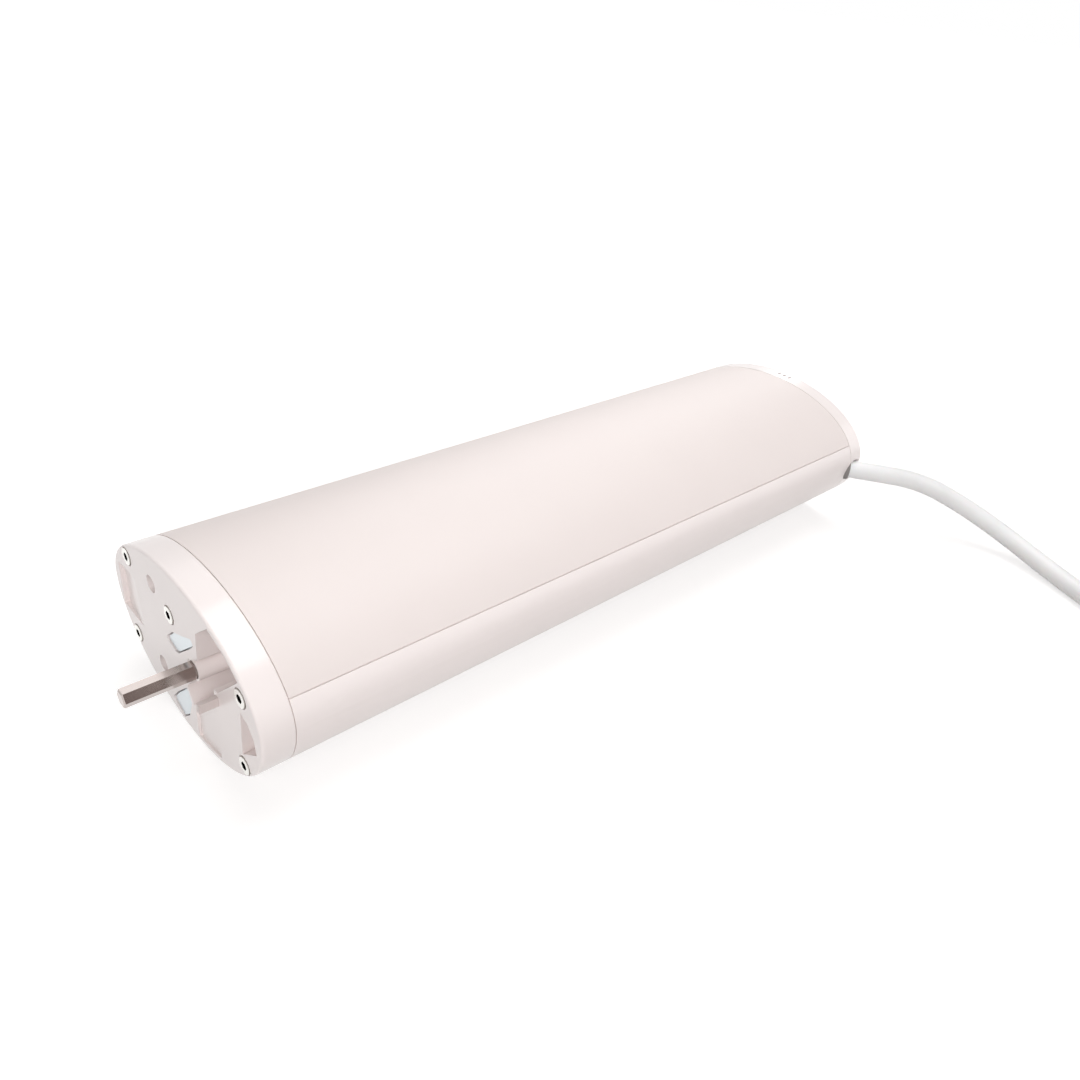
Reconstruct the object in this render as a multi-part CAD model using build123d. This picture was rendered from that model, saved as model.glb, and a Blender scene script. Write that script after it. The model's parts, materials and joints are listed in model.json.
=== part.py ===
"""Curtain motor: a long oval housing on its back, with a hexagon drive shaft at one end and a mains lead.

Built with X along the motor from the drive-end face (x = 0) towards the tail, Z up through the front cover,
and z = 0 at the widest line of the oval. place() moves every piece to the part's frame: the middle of the
motor's footprint, on the surface that it lies on. All sizes are in millimetres.
"""
from build123d import *
import os
from math import acos, cos, pi, radians, sin, sqrt, tan

# Housing
BODY_L = 300.0
HALF_W = 48.2
TOP_D = 26.2
BOTTOM_D = 31.9
FOOT_CUT = 0.4
WALL = 2.2
FACE_T = 2.4
SEAM_Z = 9.05
DRIVE_CAP_L = 10.1
TAIL_CAP_L = 8.9
CAP_EDGE_R = 0.8
REVEAL_W = 0.35
REVEAL_D = 0.6
LIP_T = 1.1
LIP_H = 2.5
SPIGOT_L = 3.5
SEAT_CLEAR = 0.15
FUSE = 0.3

# Drive shaft, on the oval's mid-line
AXIS_Y = -7.5
AXIS_Z = -2.0
SHAFT_REACH = 20.5
HEX_FLATS = 5.0
SHAFT_TIP_EDGE = 0.4
SLEEVE_R = 3.5
RUN_CLEAR = 0.03
HEX_CORNER_CLEAR = 0.02
SLEEVE_START = 0.2
CARRIER_HEX = 6.0

# Slanted bay beside the shaft: corner points from the shaft's axis
BAY_DEPTH = 13.6
BAY_FLOOR_T = 1.8
BAY_WALL = 1.4
BAY_RIM = 1.5
BAY_CORNERS = [
    (-5.3, 16.7), (-4.7, 12.1), (-4.0, 6.2), (0.0, 3.4), (0.0, -3.1), (6.2, -10.3), (4.1, -13.7), (3.0, -15.9),
    (-38.5, 25.2), (-38.5, 34.0), (-25.5, 34.0),
]

# Side pockets, sunk panel and blind holes of the drive-end face
POCKET_DEPTH = 6.0
POCKET_CORNERS = [(11.2 - HALF_W, 4.1), (7.6 - HALF_W, 2.6), (4.6 - HALF_W, -0.9), (3.6 - HALF_W, -5.9),
                  (12.5 - HALF_W, -12.4)]
RAMP_DEPTH = 1.6
RAMP_CORNERS = [(HALF_W - 4.6, 6.9), (HALF_W - 17.7, 8.6), (HALF_W - 18.6, -9.9), (HALF_W - 3.9, -9.5)]
PANEL_DEPTH = 0.8
PANEL_Y = (-20.5, -5.2)
PANEL_TOP = (-3.9, -18.3)
PANEL_RIM = 2.0
HOLE_Y = 16.5
HOLE_MID_Z = -1.0
HOLE_SPACING = 30.5
HOLE_R = 2.9
HOLE_DEPTH = 6.5
HOLE_WALL = 1.5

# Screws of both caps, placed by shares of the oval's half sizes
CAP_SCREW_SHARES = [(0.7137, 0.5344), (0.7386, -0.5141), (-0.7863, 0.3702), (-0.751, -0.5172)]
CAP_SCREWS = [(y * HALF_W, z * (TOP_D if z > 0 else BOTTOM_D)) for y, z in CAP_SCREW_SHARES]
GEAR_SCREW = (5.4, 9.8)
SCREW_R = 1.45
SCREW_HEAD_R = 2.8
SCREW_HEAD_T = 1.9
SCREW_SOCKET_R = 1.5
SCREW_SOCKET_T = 1.2
SCREW_SINK = 1.6
SCREW_SINK_CLEAR = 0.4
SCREW_GRIP = 8.0
SCREW_CLEAR = 0.05
POST_R = 3.0
POST_L = 12.0

# Catch plate and its two lugs
CATCH_T = 1.2
LUG_SINK = 0.5
LUG_GAP = 0.45
LUG_CORNER_R = 0.7
UPPER_LUG = [
    (9.9, -1.3), (4.8, 3.4), (-4.0, 7.3), (-8.4, 9.5), (-9.6, 8.7), (-7.7, 6.6), (2.2, -1.9), (4.8, -2.7),
]
LOWER_LUG = [(12.1, -26.9), (7.6, -21.8), (-0.6, -14.3), (-2.2, -18.5), (0.9, -25.6), (5.9, -30.0)]
CATCH_CORNERS = [(13.0, -27.4), (13.0, -0.6), (5.0, 4.6), (-8.0, 10.0), (-9.6, 8.7), (-2.0, 1.6), (-1.6, -5.0),
                 (2.4, -11.4), (0.4, -14.6), (-2.2, -18.5), (0.5, -26.0), (5.6, -30.6)]

# Sprung peg
PEG_Y = -22.5
PEG_Z = -2.5
PEG_W = 1.6
PEG_H = 3.1
PEG_REACH = 5.65
PEG_FOOT = 1.7
PEG_FOOT_T = 1.6
PEG_CLEAR = 0.1
PEG_WALL = 1.0
SPRING_WIRE = 0.3
SPRING_TURNS = 4

# Two-stage planet gearbox, module 0.8
MODULE = 0.8
PRESSURE_ANGLE = 25.0
SUN_TEETH = 12
PLANET_TEETH = 15
ADDENDUM = 0.6
DEDENDUM = 0.8
BACKLASH = 0.1
FLANK_STEPS = 4
PLANETS = 3
GEAR_W = 8.0
GEARBOX_R = 21.0
FRONT_PLATE_T = 4.0
JOURNAL_R = 5.0
OUTPUT_BUSH_R = 7.0
OUTPUT_BUSH_L = 6.8
CARRIER_T = 2.6
PLANET_PIN_R = 2.0
END_GAP = 0.4
MOUNT_PLATE_T = 3.0
GEAR_SCREW_R = 1.2
GEAR_SCREW_HEAD_R = 1.9
GEAR_SCREW_HEAD_T = 1.6
GEAR_SCREW_BITE = 3.0
GEAR_SCREWS = 4
MOTOR_SCREW_SHARE = 0.55
HUB_T = 1.4

# Motor
MOTOR_R = 17.0
CAN_T = 1.2
MOTOR_SHAFT_R = 1.6
ROTOR_R = 11.5
AIR_GAP = 0.4
ROTOR_L = 36.0
ROTOR_START = 11.0
ROTOR_END_ROOM = 15.0
MOTOR_L = ROTOR_START + ROTOR_L + ROTOR_END_ROOM
ROTOR_SLOTS = 5
SLOT_W = 2.4
WINDING_T = 5.0
WINDING_LIFT = 0.5
WINDING_INSET = 1.0
COMMUTATOR_R = 5.0
COMMUTATOR_L = 8.0
COMMUTATOR_GAP = 1.5
BRUSH_W = 4.0
BRUSH_L = 4.0
HOLDER_T = 1.0
BELL_T = 3.5
MOTOR_BUSH_R = 4.0
MOTOR_BUSH_PROUD = 1.0
MOTOR_BUSH_IN = 4.0
ENCODER_R = 5.0
ENCODER_T = 3.5
ENCODER_GAP = 1.0
HALL_R = 11.0
BOARD_T = 1.6
PILLAR_L = 9.0
PILLAR_R = 1.5
PILLAR_INSET = 2.5
DAMPER_T = 2.0
DAMPER_W = 6.0
FRONT_DAMPER_START = 8.0
REAR_DAMPER_GAP = 4.0

# Electronics
BOARD_L = 96.0
BOARD_END_ROOM = 26.0
BOARD_X = (BODY_L - BOARD_END_ROOM - BOARD_L, BODY_L - BOARD_END_ROOM)
BOARD_POST_INSET = 6.0
BOARD_EDGE = 1.0
POWER_BOARD_Z = -17.0
POWER_BOARD_HALF = 31.0
CONTROL_BOARD_HALF = 24.0
CONTROL_BOARD_END = BODY_L - 8.5
SPACER_L = 17.8
SPACER_R = 3.0
BOARD_SCREW_R = 1.2
BOARD_SCREW_BITE = 4.0
TRANSFORMER = (24.0, 24.0, 16.5)
TRANSFORMER_START = 28.0
CORE_SHARE = 0.7
WINDING_SHARES = (0.55, 0.8)
CAPACITOR_R = 8.0
CAPACITOR_L = 30.0
CAPACITOR_START = 46.0
CAPACITOR_Y = 12.0
RADIO = (18.0, 16.0, 3.0)
RADIO_START = 24.0
SOUNDER_R = 6.0
SOUNDER_H = 5.0
SOUNDER_GAP = 4.0

# Tail end
SLIT_X = BODY_L - 3.7
SLIT_L = 2.6
SLIT_W = 0.8
SLIT_PITCH = 2.9
SLIT_Y = -1.2
SLITS = 3
BUTTON_Y = 12.0
BUTTON_R = 4.0
BUTTON_PROUD = 0.6
BUTTON_TRAVEL = 0.8
BUTTON_CLEAR = 0.1
FLANGE_STEP = 1.2
FLANGE_T = 1.4
STEM_R = 1.5
STEM_L = 3.0
SWITCH_SIDE = 6.0
PLUNGER_L = 1.0
LIGHT_PIPE_Y = 22.0
LIGHT_PIPE_R = 1.5
LIGHT_PIPE_L = 12.0

# Lead: exit in the tail cap's side, then the route to the coil as steps from the exit with shares of the drop
CORD_R = 4.1
CORD_CLEAR = 0.02
EXIT = Vector(BODY_L - 5.6, 1.2 - HALF_W, -2.6)
EXIT_WAY = Vector(0.61, -0.7924, 0.0).normalized()
EXIT_HOLE_R = 5.0
EXIT_BORE = 10.0
GROMMET_X = (-4.4, -0.6)
INNER_LEAD = 15.0
BEND_SHARE = 0.45
ROUTE_REST = [(6.2, -8.1, 0.0), (26.2, -23.0, 0.146), (39.2, -40.5, 0.4828), (46.6, -62.3, 0.8479),
              (39.7, -89.0, 1.0142), (27.8, -116.6, 1.0)]
ROUTE_LAST_RUN = 24.0
ROUTE_LAST_ASIDE = 2.0
CLAMP_W = 6.0
CLAMP_SIDE = 8.0
CLAMP_T = 1.8
SHELF_T = 3.0
SHELF_ARM_L = 30.0

# Coil of the spare lead: two layers, three turns each
COIL_STEP = 8.7
COIL_LAYER = 8.7
COIL_INNER_R = 33.0
COIL_HALF_TURNS_IN = 5
COIL_HALF_TURNS_OUT = 6
COIL_END = 36.0
GAP_STEP = 2.0
TIE_T = 0.6
TIE_W = 4.0
TIE_CLEAR = 0.25
TIE_SLACK = 0.7

# Plug
RELIEF_L = 14.0
RELIEF_R = (5.1, 6.3)
PLUG_L = 34.0
PLUG_W = 27.0
PLUG_EDGE = 3.0
BLADE = (17.5, 1.5, 6.4)
BLADE_PITCH = 12.7
BLADE_RISE = 2.0
EARTH_PIN_R = 2.4
EARTH_PIN_L = 20.6
EARTH_PIN_DROP = 8.0

FLOOR_Z = -(BOTTOM_D - FOOT_CUT)
FRAME_X = -(BODY_L + BUTTON_PROUD - SHAFT_REACH) / 2
AXIS = (AXIS_Y, AXIS_Z)


def place(shape):
    """Move a piece from the building frame to the part's frame."""
    return Pos(FRAME_X, 0, -FLOOR_Z) * shape


def oval(x0, x1, inset=0.0):
    """Solid between two stations whose section is the housing's oval, drawn in by inset."""
    keep_up = Pos(0, TOP_D) * Rectangle(2 * HALF_W, 2 * TOP_D)
    keep_down = Pos(0, -BOTTOM_D) * Rectangle(2 * HALF_W, 2 * BOTTOM_D)
    upper = Ellipse(HALF_W - inset, TOP_D - inset) & keep_up
    lower = Ellipse(HALF_W - inset, BOTTOM_D - inset) & keep_down
    return extrude(Plane.YZ.offset(x0) * (upper + lower), x1 - x0)


def oval_ring(x0, x1, outer, inner):
    """Ring between two insets of the oval."""
    return oval(x0, x1, outer) - oval(x0, x1, inner)


def block(x, y, z):
    """Box between pairs of limits."""
    size = [limits[1] - limits[0] for limits in (x, y, z)]
    centre = [(limits[0] + limits[1]) / 2 for limits in (x, y, z)]
    return Pos(*centre) * Box(*size)


def rod(x0, x1, radius, centre=AXIS):
    """Cylinder along X."""
    return extrude(Plane.YZ.offset(x0) * Pos(*centre) * Circle(radius), x1 - x0)


def tube(x0, x1, outer, inner, centre=AXIS):
    """Hollow cylinder along X."""
    return rod(x0, x1, outer, centre) - rod(x0, x1, inner, centre)


def prism(x0, x1, corners, grow=0.0):
    """Solid with a polygon section in Y and Z, grown sideways if asked."""
    face = Polygon(*corners, align=None)
    if grow:
        face = offset(face, grow, kind=Kind.INTERSECTION)
    return extrude(Plane.YZ.offset(x0) * face, x1 - x0, dir=(1, 0, 0))


def round_prism(x0, x1, corners, radius, grow=0.0):
    """Solid with a polygon section whose outer corners are rounded, grown sideways if asked."""
    face = offset(Polygon(*corners, align=None), -radius, kind=Kind.INTERSECTION)
    face = offset(face, radius + grow, kind=Kind.ARC)
    return extrude(Plane.YZ.offset(x0) * face, x1 - x0, dir=(1, 0, 0))


def about_axis(corners):
    """Corner points given from the shaft's axis, as points of the section."""
    return [(AXIS_Y + dy, AXIS_Z + dz) for dy, dz in corners]


def around(radius, count, start=0.0):
    """Evenly spaced points round the shaft's axis with their angles in degrees."""
    angles = [start + 360.0 * index / count for index in range(count)]
    return [(AXIS_Y + radius * cos(radians(a)), AXIS_Z + radius * sin(radians(a)), a) for a in angles]


def above(height, x):
    """Half space above a height, as a box over a length."""
    return block(x, (-HALF_W, HALF_W), (height, TOP_D))


def below(height, x):
    """Half space below a height, as a box over a length."""
    return block(x, (-HALF_W, HALF_W), (-BOTTOM_D, height))


def cut_foot(shape):
    """Flatten the strip that the motor lies on."""
    return shape - block((0, BODY_L), (-HALF_W, HALF_W), (-BOTTOM_D - 1, FLOOR_Z))


def cap_screw(x, centre, way, length):
    """Pan-head socket screw whose seat is at x; way is 1 or -1, the direction that it drives in."""
    y, z = centre
    inner, outer = sorted((x, x - way * SCREW_HEAD_T))
    head = rod(inner, outer, SCREW_HEAD_R, centre)
    shank = rod(*sorted((x, x + way * length)), SCREW_R, centre)
    top = x - way * SCREW_HEAD_T
    socket_x = min(top, top + way * SCREW_SOCKET_T)
    socket = Plane.YZ.offset(socket_x) * Pos(y, z) * RegularPolygon(SCREW_SOCKET_R, 6)
    return head + shank - extrude(socket, SCREW_SOCKET_T)


SHELL_X = (DRIVE_CAP_L, BODY_L - TAIL_CAP_L)
TAIL_X = BODY_L - TAIL_CAP_L
UPPER_SCREWS = [point for point in CAP_SCREWS if point[1] > SEAM_Z and point[0] > 0]
LOWER_SCREWS = [point for point in CAP_SCREWS if point not in UPPER_SCREWS]

# Gearbox and motor stations along X
GEARBOX_X = BAY_DEPTH + BAY_FLOOR_T
RING_X = GEARBOX_X + FRONT_PLATE_T
OUT_CARRIER_X = GEARBOX_X + OUTPUT_BUSH_L + END_GAP
OUT_PLANET_X = OUT_CARRIER_X + CARRIER_T + END_GAP
MID_CARRIER_X = OUT_PLANET_X + GEAR_W + 2 * END_GAP
IN_PLANET_X = MID_CARRIER_X + CARRIER_T + END_GAP
MOUNT_X = IN_PLANET_X + GEAR_W + 2 * END_GAP
MOTOR_X = MOUNT_X + MOUNT_PLATE_T
BELL_X = MOTOR_X + MOTOR_L
ROTOR_X = MOTOR_X + ROTOR_START
COMMUTATOR_X = BELL_X - COMMUTATOR_L - COMMUTATOR_GAP
HALL_X = BELL_X + BELL_T + PILLAR_L
ENCODER_X = HALL_X - ENCODER_GAP - ENCODER_T
FRONT_DAMPER_X = RING_X + FRONT_DAMPER_START
REAR_DAMPER_X = BELL_X - DAMPER_W - REAR_DAMPER_GAP
RING_TEETH = SUN_TEETH + 2 * PLANET_TEETH
CENTRE_R = MODULE * (SUN_TEETH + PLANET_TEETH) / 2
SLEEVE_BORE_R = HEX_FLATS / sqrt(3) + RUN_CLEAR + HEX_CORNER_CLEAR
BRUSH_X = COMMUTATOR_X + (COMMUTATOR_L - BRUSH_L) / 2
CONTROL_BOARD_Z = POWER_BOARD_Z + BOARD_T + SPACER_L
CONTROL_TOP_Z = CONTROL_BOARD_Z + BOARD_T
BOARD_SCREW_L = SPACER_L + 2 * BOARD_T + BOARD_SCREW_BITE
BUTTON_Z = CONTROL_TOP_Z + SWITCH_SIDE / 2


def cradle(x, radius):
    """Rib plate across the housing with a round seat, over a damper's width."""
    rib = oval(x, x + DAMPER_W, WALL - FUSE)
    return rib - rod(x, x + DAMPER_W, radius + SEAT_CLEAR / 3)


def cradles():
    """Both rib plates: round the gearbox and round the motor."""
    return cradle(FRONT_DAMPER_X, GEARBOX_R + DAMPER_T) + cradle(REAR_DAMPER_X, MOTOR_R + DAMPER_T)


def posts(points):
    """Screw posts of a shell at both ends."""
    spans = [(SHELL_X[0], SHELL_X[0] + POST_L), (SHELL_X[1] - POST_L, SHELL_X[1])]
    return [rod(x0, x1, POST_R, point) for x0, x1 in spans for point in points]


def post_bores(points):
    """Screw bores down the posts."""
    depth = POST_L + 1
    spans = [(SHELL_X[0] - 1, SHELL_X[0] + depth), (SHELL_X[1] - depth, SHELL_X[1] + 1)]
    return [rod(x0, x1, SCREW_R + SCREW_CLEAR, point) for x0, x1 in spans for point in points]


def end_room(points, grow):
    """Room round posts, to keep lips and ribs out of them."""
    return [rod(SHELL_X[0] - 1, SHELL_X[0] + POST_L + 1, POST_R + grow, point) for point in points] + [
        rod(SHELL_X[1] - POST_L - 1, SHELL_X[1] + 1, POST_R + grow, point) for point in points
    ]


def spigot_end(index):
    """Station that a cap's spigot reaches inside the shells: drive end 0, tail end 1."""
    return SHELL_X[0] + SPIGOT_L + SEAT_CLEAR if index == 0 else SHELL_X[1] - SPIGOT_L - SEAT_CLEAR


def spigot(index):
    """Oval collar of a cap inside the shells, with room for their screw posts."""
    inset = (WALL + SEAT_CLEAR, WALL + SEAT_CLEAR + LIP_T)
    if index == 0:
        x = (DRIVE_CAP_L, DRIVE_CAP_L + SPIGOT_L)
        root = oval_ring(DRIVE_CAP_L - FACE_T, DRIVE_CAP_L, WALL - FUSE, inset[1])
    else:
        x = (TAIL_X - SPIGOT_L, TAIL_X)
        root = oval_ring(TAIL_X, TAIL_X + FACE_T, WALL - FUSE, inset[1])
    collar = oval_ring(*x, *inset)
    for point in CAP_SCREWS:
        collar -= rod(*x, POST_R + SEAT_CLEAR, point)
    return collar + root


def make_upper_cover():
    """Front cover: the long half shell above the side seam, with an inner lip along the seam."""
    cover = oval_ring(*SHELL_X, 0, WALL) & above(SEAM_Z, SHELL_X)
    cover += cradles() & above(SEAM_Z + SEAT_CLEAR, SHELL_X)
    lip_x = (SHELL_X[0] + POST_L + FUSE, SHELL_X[1] - POST_L - FUSE)
    root = oval_ring(*lip_x, WALL - FUSE, WALL + SEAT_CLEAR + LIP_T)
    root &= block(lip_x, (-HALF_W, HALF_W), (SEAM_Z, SEAM_Z + LIP_H))
    lip = oval_ring(*lip_x, WALL + SEAT_CLEAR, WALL + SEAT_CLEAR + LIP_T)
    lip &= block(lip_x, (-HALF_W, HALF_W), (SEAM_Z - LIP_H, SEAM_Z + FUSE))
    lip -= block((FRONT_DAMPER_X - 1, FRONT_DAMPER_X + DAMPER_W + 1), (-HALF_W, HALF_W), (-HALF_W, SEAM_Z))
    lip -= block((REAR_DAMPER_X - 1, REAR_DAMPER_X + DAMPER_W + 1), (-HALF_W, HALF_W), (-HALF_W, SEAM_Z))
    cover += root + lip
    cover += [post & oval(*SHELL_X, REVEAL_D) & above(SEAM_Z, SHELL_X) for post in posts(UPPER_SCREWS)]
    cover -= end_room([point for point in LOWER_SCREWS if point[1] > 0], SEAT_CLEAR)
    groove = oval_ring(*SHELL_X, 0, REVEAL_D) & block(SHELL_X, (-HALF_W, HALF_W), (SEAM_Z, SEAM_Z + REVEAL_W))
    cover -= groove
    cover -= post_bores(UPPER_SCREWS)
    return cover


def make_lower_shell():
    """Back shell below the side seam, with cradles, screw posts and board posts."""
    shell = oval_ring(*SHELL_X, 0, WALL) & below(SEAM_Z, SHELL_X)
    shell += cradles() & below(SEAM_Z - SEAT_CLEAR, SHELL_X)
    for post, point in zip(posts(LOWER_SCREWS), LOWER_SCREWS * 2):
        shell += post & oval(*SHELL_X, WALL if point[1] > 0 else REVEAL_D)
        if point[1] > 0:
            x0, x1 = post.bounding_box().min.X, post.bounding_box().max.X
            side = -1 if point[0] < 0 else 1
            x0, x1 = max(x0, spigot_end(0)), min(x1, spigot_end(1))
            web = block((x0, x1), sorted((point[0], side * HALF_W)), (point[1] - POST_R, SEAM_Z - SEAT_CLEAR))
            shell += web & oval(x0, x1, WALL - FUSE)
    for x, y in board_points():
        foot = Pos(x, y, 0) * Cylinder(SPACER_R, BOTTOM_D, align=(Align.CENTER, Align.CENTER, Align.MAX))
        shell += foot & oval(*SHELL_X, WALL - FUSE) & below(POWER_BOARD_Z, SHELL_X)
    shell -= post_bores(LOWER_SCREWS)
    for x, y in board_points():
        depth = BOARD_SCREW_L - SPACER_L - 2 * BOARD_T
        bore = Pos(x, y, POWER_BOARD_Z + FUSE) * Cylinder(
            BOARD_SCREW_R + SCREW_CLEAR, depth + 2 * FUSE, align=(Align.CENTER, Align.CENTER, Align.MAX)
        )
        shell -= bore
    shell -= along_exit(-EXIT_BORE, EXIT_BORE, EXIT_HOLE_R)
    return cut_foot(shell)


def ramp():
    """Shallow scoop: no depth along its inner edge, full depth at its outer lower corner."""
    _, high, low, deep = RAMP_CORNERS
    along = Vector(0, low[0] - high[0], low[1] - high[1])
    down = Vector(RAMP_DEPTH, deep[0] - high[0], deep[1] - high[1])
    slope = Plane(origin=(0, *high), x_dir=along, z_dir=along.cross(down))
    whole = prism(0, RAMP_DEPTH, RAMP_CORNERS)
    halves = [split(whole, bisect_by=slope, keep=keep) for keep in (Keep.TOP, Keep.BOTTOM)]
    return min(halves, key=lambda half: half.center().X)


def peg_box(x, grow):
    """Box round the peg's section over a length."""
    half_y = PEG_W / 2 + grow
    half_z = PEG_H / 2 + grow
    return block(x, (PEG_Y - half_y, PEG_Y + half_y), (PEG_Z - half_z, PEG_Z + half_z))


def peg_foot_box(x, grow):
    """Box of the peg's foot: the peg's section reaching further away from the bay."""
    y = (PEG_Y - PEG_W / 2 - PEG_FOOT - grow, PEG_Y + PEG_W / 2 + grow)
    z = (PEG_Z - PEG_H / 2 - PEG_FOOT - grow, PEG_Z + PEG_H / 2 + grow)
    return block(x, y, z)


def make_drive_end_cap():
    """Oval cap with the face plate, the deep bay, pockets, blind holes, lug windows and screw seats."""
    cap = oval(0, DRIVE_CAP_L)
    cap = fillet(cap.edges().group_by(Axis.X)[0], CAP_EDGE_R)
    cap -= oval(FACE_T, DRIVE_CAP_L, WALL)
    cap += spigot(0)
    inside = oval(0, DRIVE_CAP_L, REVEAL_D)
    deep_inside = inside + oval(DRIVE_CAP_L, GEARBOX_X, WALL + SEAT_CLEAR)
    corners = about_axis(BAY_CORNERS)
    tub = prism(FACE_T / 2, GEARBOX_X, corners, BAY_WALL) + rod(FACE_T / 2, GEARBOX_X, SLEEVE_R + BAY_WALL)
    tub += rod(FACE_T / 2, GEARBOX_X, SCREW_R + BAY_WALL, GEAR_SCREW)
    for point in CAP_SCREWS:
        tub -= rod(DRIVE_CAP_L, GEARBOX_X, POST_R + SEAT_CLEAR, point)
    cap += tub & deep_inside
    for point in CAP_SCREWS + [GEAR_SCREW]:
        cap += rod(FACE_T / 2, DRIVE_CAP_L, SCREW_HEAD_R + SCREW_SINK_CLEAR + FUSE, point) & inside
    for hole in hole_points():
        cap += rod(FACE_T / 2, HOLE_DEPTH + HOLE_WALL, HOLE_R + HOLE_WALL, hole) & inside
    cap += prism(FACE_T / 2, POCKET_DEPTH + HOLE_WALL, POCKET_CORNERS, HOLE_WALL) & inside
    cap += prism(FACE_T / 2, RAMP_DEPTH + HOLE_WALL, RAMP_CORNERS, HOLE_WALL) & inside
    spigot_root = DRIVE_CAP_L - FACE_T
    hollow = oval(-1, spigot_root, BAY_RIM) + oval(spigot_root, BAY_DEPTH, WALL + SEAT_CLEAR + LIP_T)
    cap -= prism(-1, BAY_DEPTH, corners) & hollow
    cap += peg_box((PEG_CLEAR, DRIVE_CAP_L), PEG_CLEAR + PEG_WALL)
    cap += peg_foot_box((FACE_T / 2, DRIVE_CAP_L), PEG_CLEAR + PEG_WALL)
    cap -= prism(-1, POCKET_DEPTH, POCKET_CORNERS) & oval(-1, POCKET_DEPTH, BAY_RIM)
    cap -= ramp()
    top = [(PANEL_Y[1], PANEL_TOP[1]), (PANEL_Y[0], PANEL_TOP[0])]
    panel = prism(-1, PANEL_DEPTH, top + [(PANEL_Y[0], -BOTTOM_D), (PANEL_Y[1], -BOTTOM_D)])
    cap -= panel & oval(-1, PANEL_DEPTH, PANEL_RIM)
    for hole in hole_points():
        cap -= rod(-1, HOLE_DEPTH, HOLE_R, hole)
    for lug in (UPPER_LUG, LOWER_LUG):
        cap -= round_prism(-1, FACE_T, lug, LUG_CORNER_R, LUG_GAP)
    cap -= prism(FACE_T, FACE_T + CATCH_T, CATCH_CORNERS, SEAT_CLEAR)
    cap -= rod(-1, GEARBOX_X, SLEEVE_R)
    cap -= rod(-1, GEARBOX_X, SCREW_R + SCREW_CLEAR, GEAR_SCREW)
    cap -= peg_box((-1, DRIVE_CAP_L - BAY_FLOOR_T), PEG_CLEAR)
    cap -= peg_foot_box((FACE_T, DRIVE_CAP_L - BAY_FLOOR_T), PEG_CLEAR)
    for point in CAP_SCREWS + [GEAR_SCREW]:
        cap -= rod(-1, SCREW_SINK, SCREW_HEAD_R + SCREW_SINK_CLEAR, point)
        cap -= rod(-1, DRIVE_CAP_L + SPIGOT_L + 1, SCREW_R + SCREW_CLEAR, point)
    return cut_foot(reveal(cap, DRIVE_CAP_L - REVEAL_W))


def reveal(shape, x):
    """Fine groove round the oval where a cap meets the shells."""
    return shape - oval_ring(x, x + REVEAL_W, 0, REVEAL_D)


def hole_points():
    """Centres of the two blind holes."""
    return [(HOLE_Y, HOLE_MID_Z + side * HOLE_SPACING / 2) for side in (1, -1)]


def make_catch_plate():
    """Steel plate behind the face with two lugs that fill the slanted windows."""
    plate = prism(FACE_T, FACE_T + CATCH_T, CATCH_CORNERS)
    for lug in (UPPER_LUG, LOWER_LUG):
        plate += round_prism(LUG_SINK, FACE_T + CATCH_T, lug, LUG_CORNER_R)
    return plate


def make_detent_peg():
    """Rectangular peg with the foot that keeps it behind the face."""
    peg = peg_box((-PEG_REACH, FACE_T + PEG_CLEAR + PEG_FOOT_T), 0)
    foot_x = (FACE_T + PEG_CLEAR, FACE_T + PEG_CLEAR + PEG_FOOT_T)
    return peg + peg_foot_box(foot_x, 0)


def make_detent_spring():
    """Compression spring between the peg's foot and the cap's rear wall."""
    start = FACE_T + PEG_CLEAR + PEG_FOOT_T + SPRING_WIRE / 2
    end = DRIVE_CAP_L - BAY_FLOOR_T - SPRING_WIRE / 2
    radius = (PEG_W + PEG_FOOT) / 2 - SPRING_WIRE
    centre_y = PEG_Y - PEG_FOOT / 2
    centre_z = PEG_Z - PEG_FOOT / 2
    turn = Helix(pitch=(end - start) / SPRING_TURNS, height=end - start, radius=radius)
    wire = sweep(Plane(turn @ 0, z_dir=turn % 0) * Circle(SPRING_WIRE / 2), turn)
    return Pos(start, centre_y, centre_z) * Rot(0, 90, 0) * wire


def involute(angle):
    """Involute function of an angle in radians."""
    return tan(angle) - angle


def tooth_outline(teeth, tip_r, root_r, thinning):
    """Corner points of a spur gear with a tooth centred on angle 0."""
    pitch_r = MODULE * teeth / 2
    base_r = pitch_r * cos(radians(PRESSURE_ANGLE))
    half_at_pitch = pi / (2 * teeth) - thinning / (2 * pitch_r) + involute(radians(PRESSURE_ANGLE))
    start_r = max(base_r, root_r)
    flank = []
    for step in range(FLANK_STEPS + 1):
        radius = start_r + (tip_r - start_r) * step / FLANK_STEPS
        flank.append((radius, half_at_pitch - involute(acos(min(1.0, base_r / radius)))))
    if root_r < base_r:
        flank.insert(0, (root_r, flank[0][1]))
    corners = []
    for tooth in range(teeth):
        middle = 2 * pi * tooth / teeth
        sides = [(radius, middle - half) for radius, half in flank]
        sides += [(radius, middle + half) for radius, half in reversed(flank)]
        corners += [(radius * cos(angle), radius * sin(angle)) for radius, angle in sides]
    return corners


def gear(x0, x1, teeth, centre, turn):
    """External gear along X at a centre, turned by an angle in degrees."""
    pitch_r = MODULE * teeth / 2
    face = Polygon(*tooth_outline(teeth, pitch_r + ADDENDUM, pitch_r - DEDENDUM, BACKLASH), align=None)
    return extrude(Plane.YZ.offset(x0) * Pos(*centre) * Rot(0, 0, turn) * face, x1 - x0)


def make_planets(x0):
    """The planets of one stage, each phased to mesh with the sun and the ring."""
    planets = []
    for y, z, angle in around(CENTRE_R, PLANETS):
        body = gear(x0, x0 + GEAR_W, PLANET_TEETH, (y, z), angle + 180 + 180 / PLANET_TEETH)
        planets.append(body - rod(x0, x0 + GEAR_W, PLANET_PIN_R + SCREW_CLEAR, (y, z)))
    return planets


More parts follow.
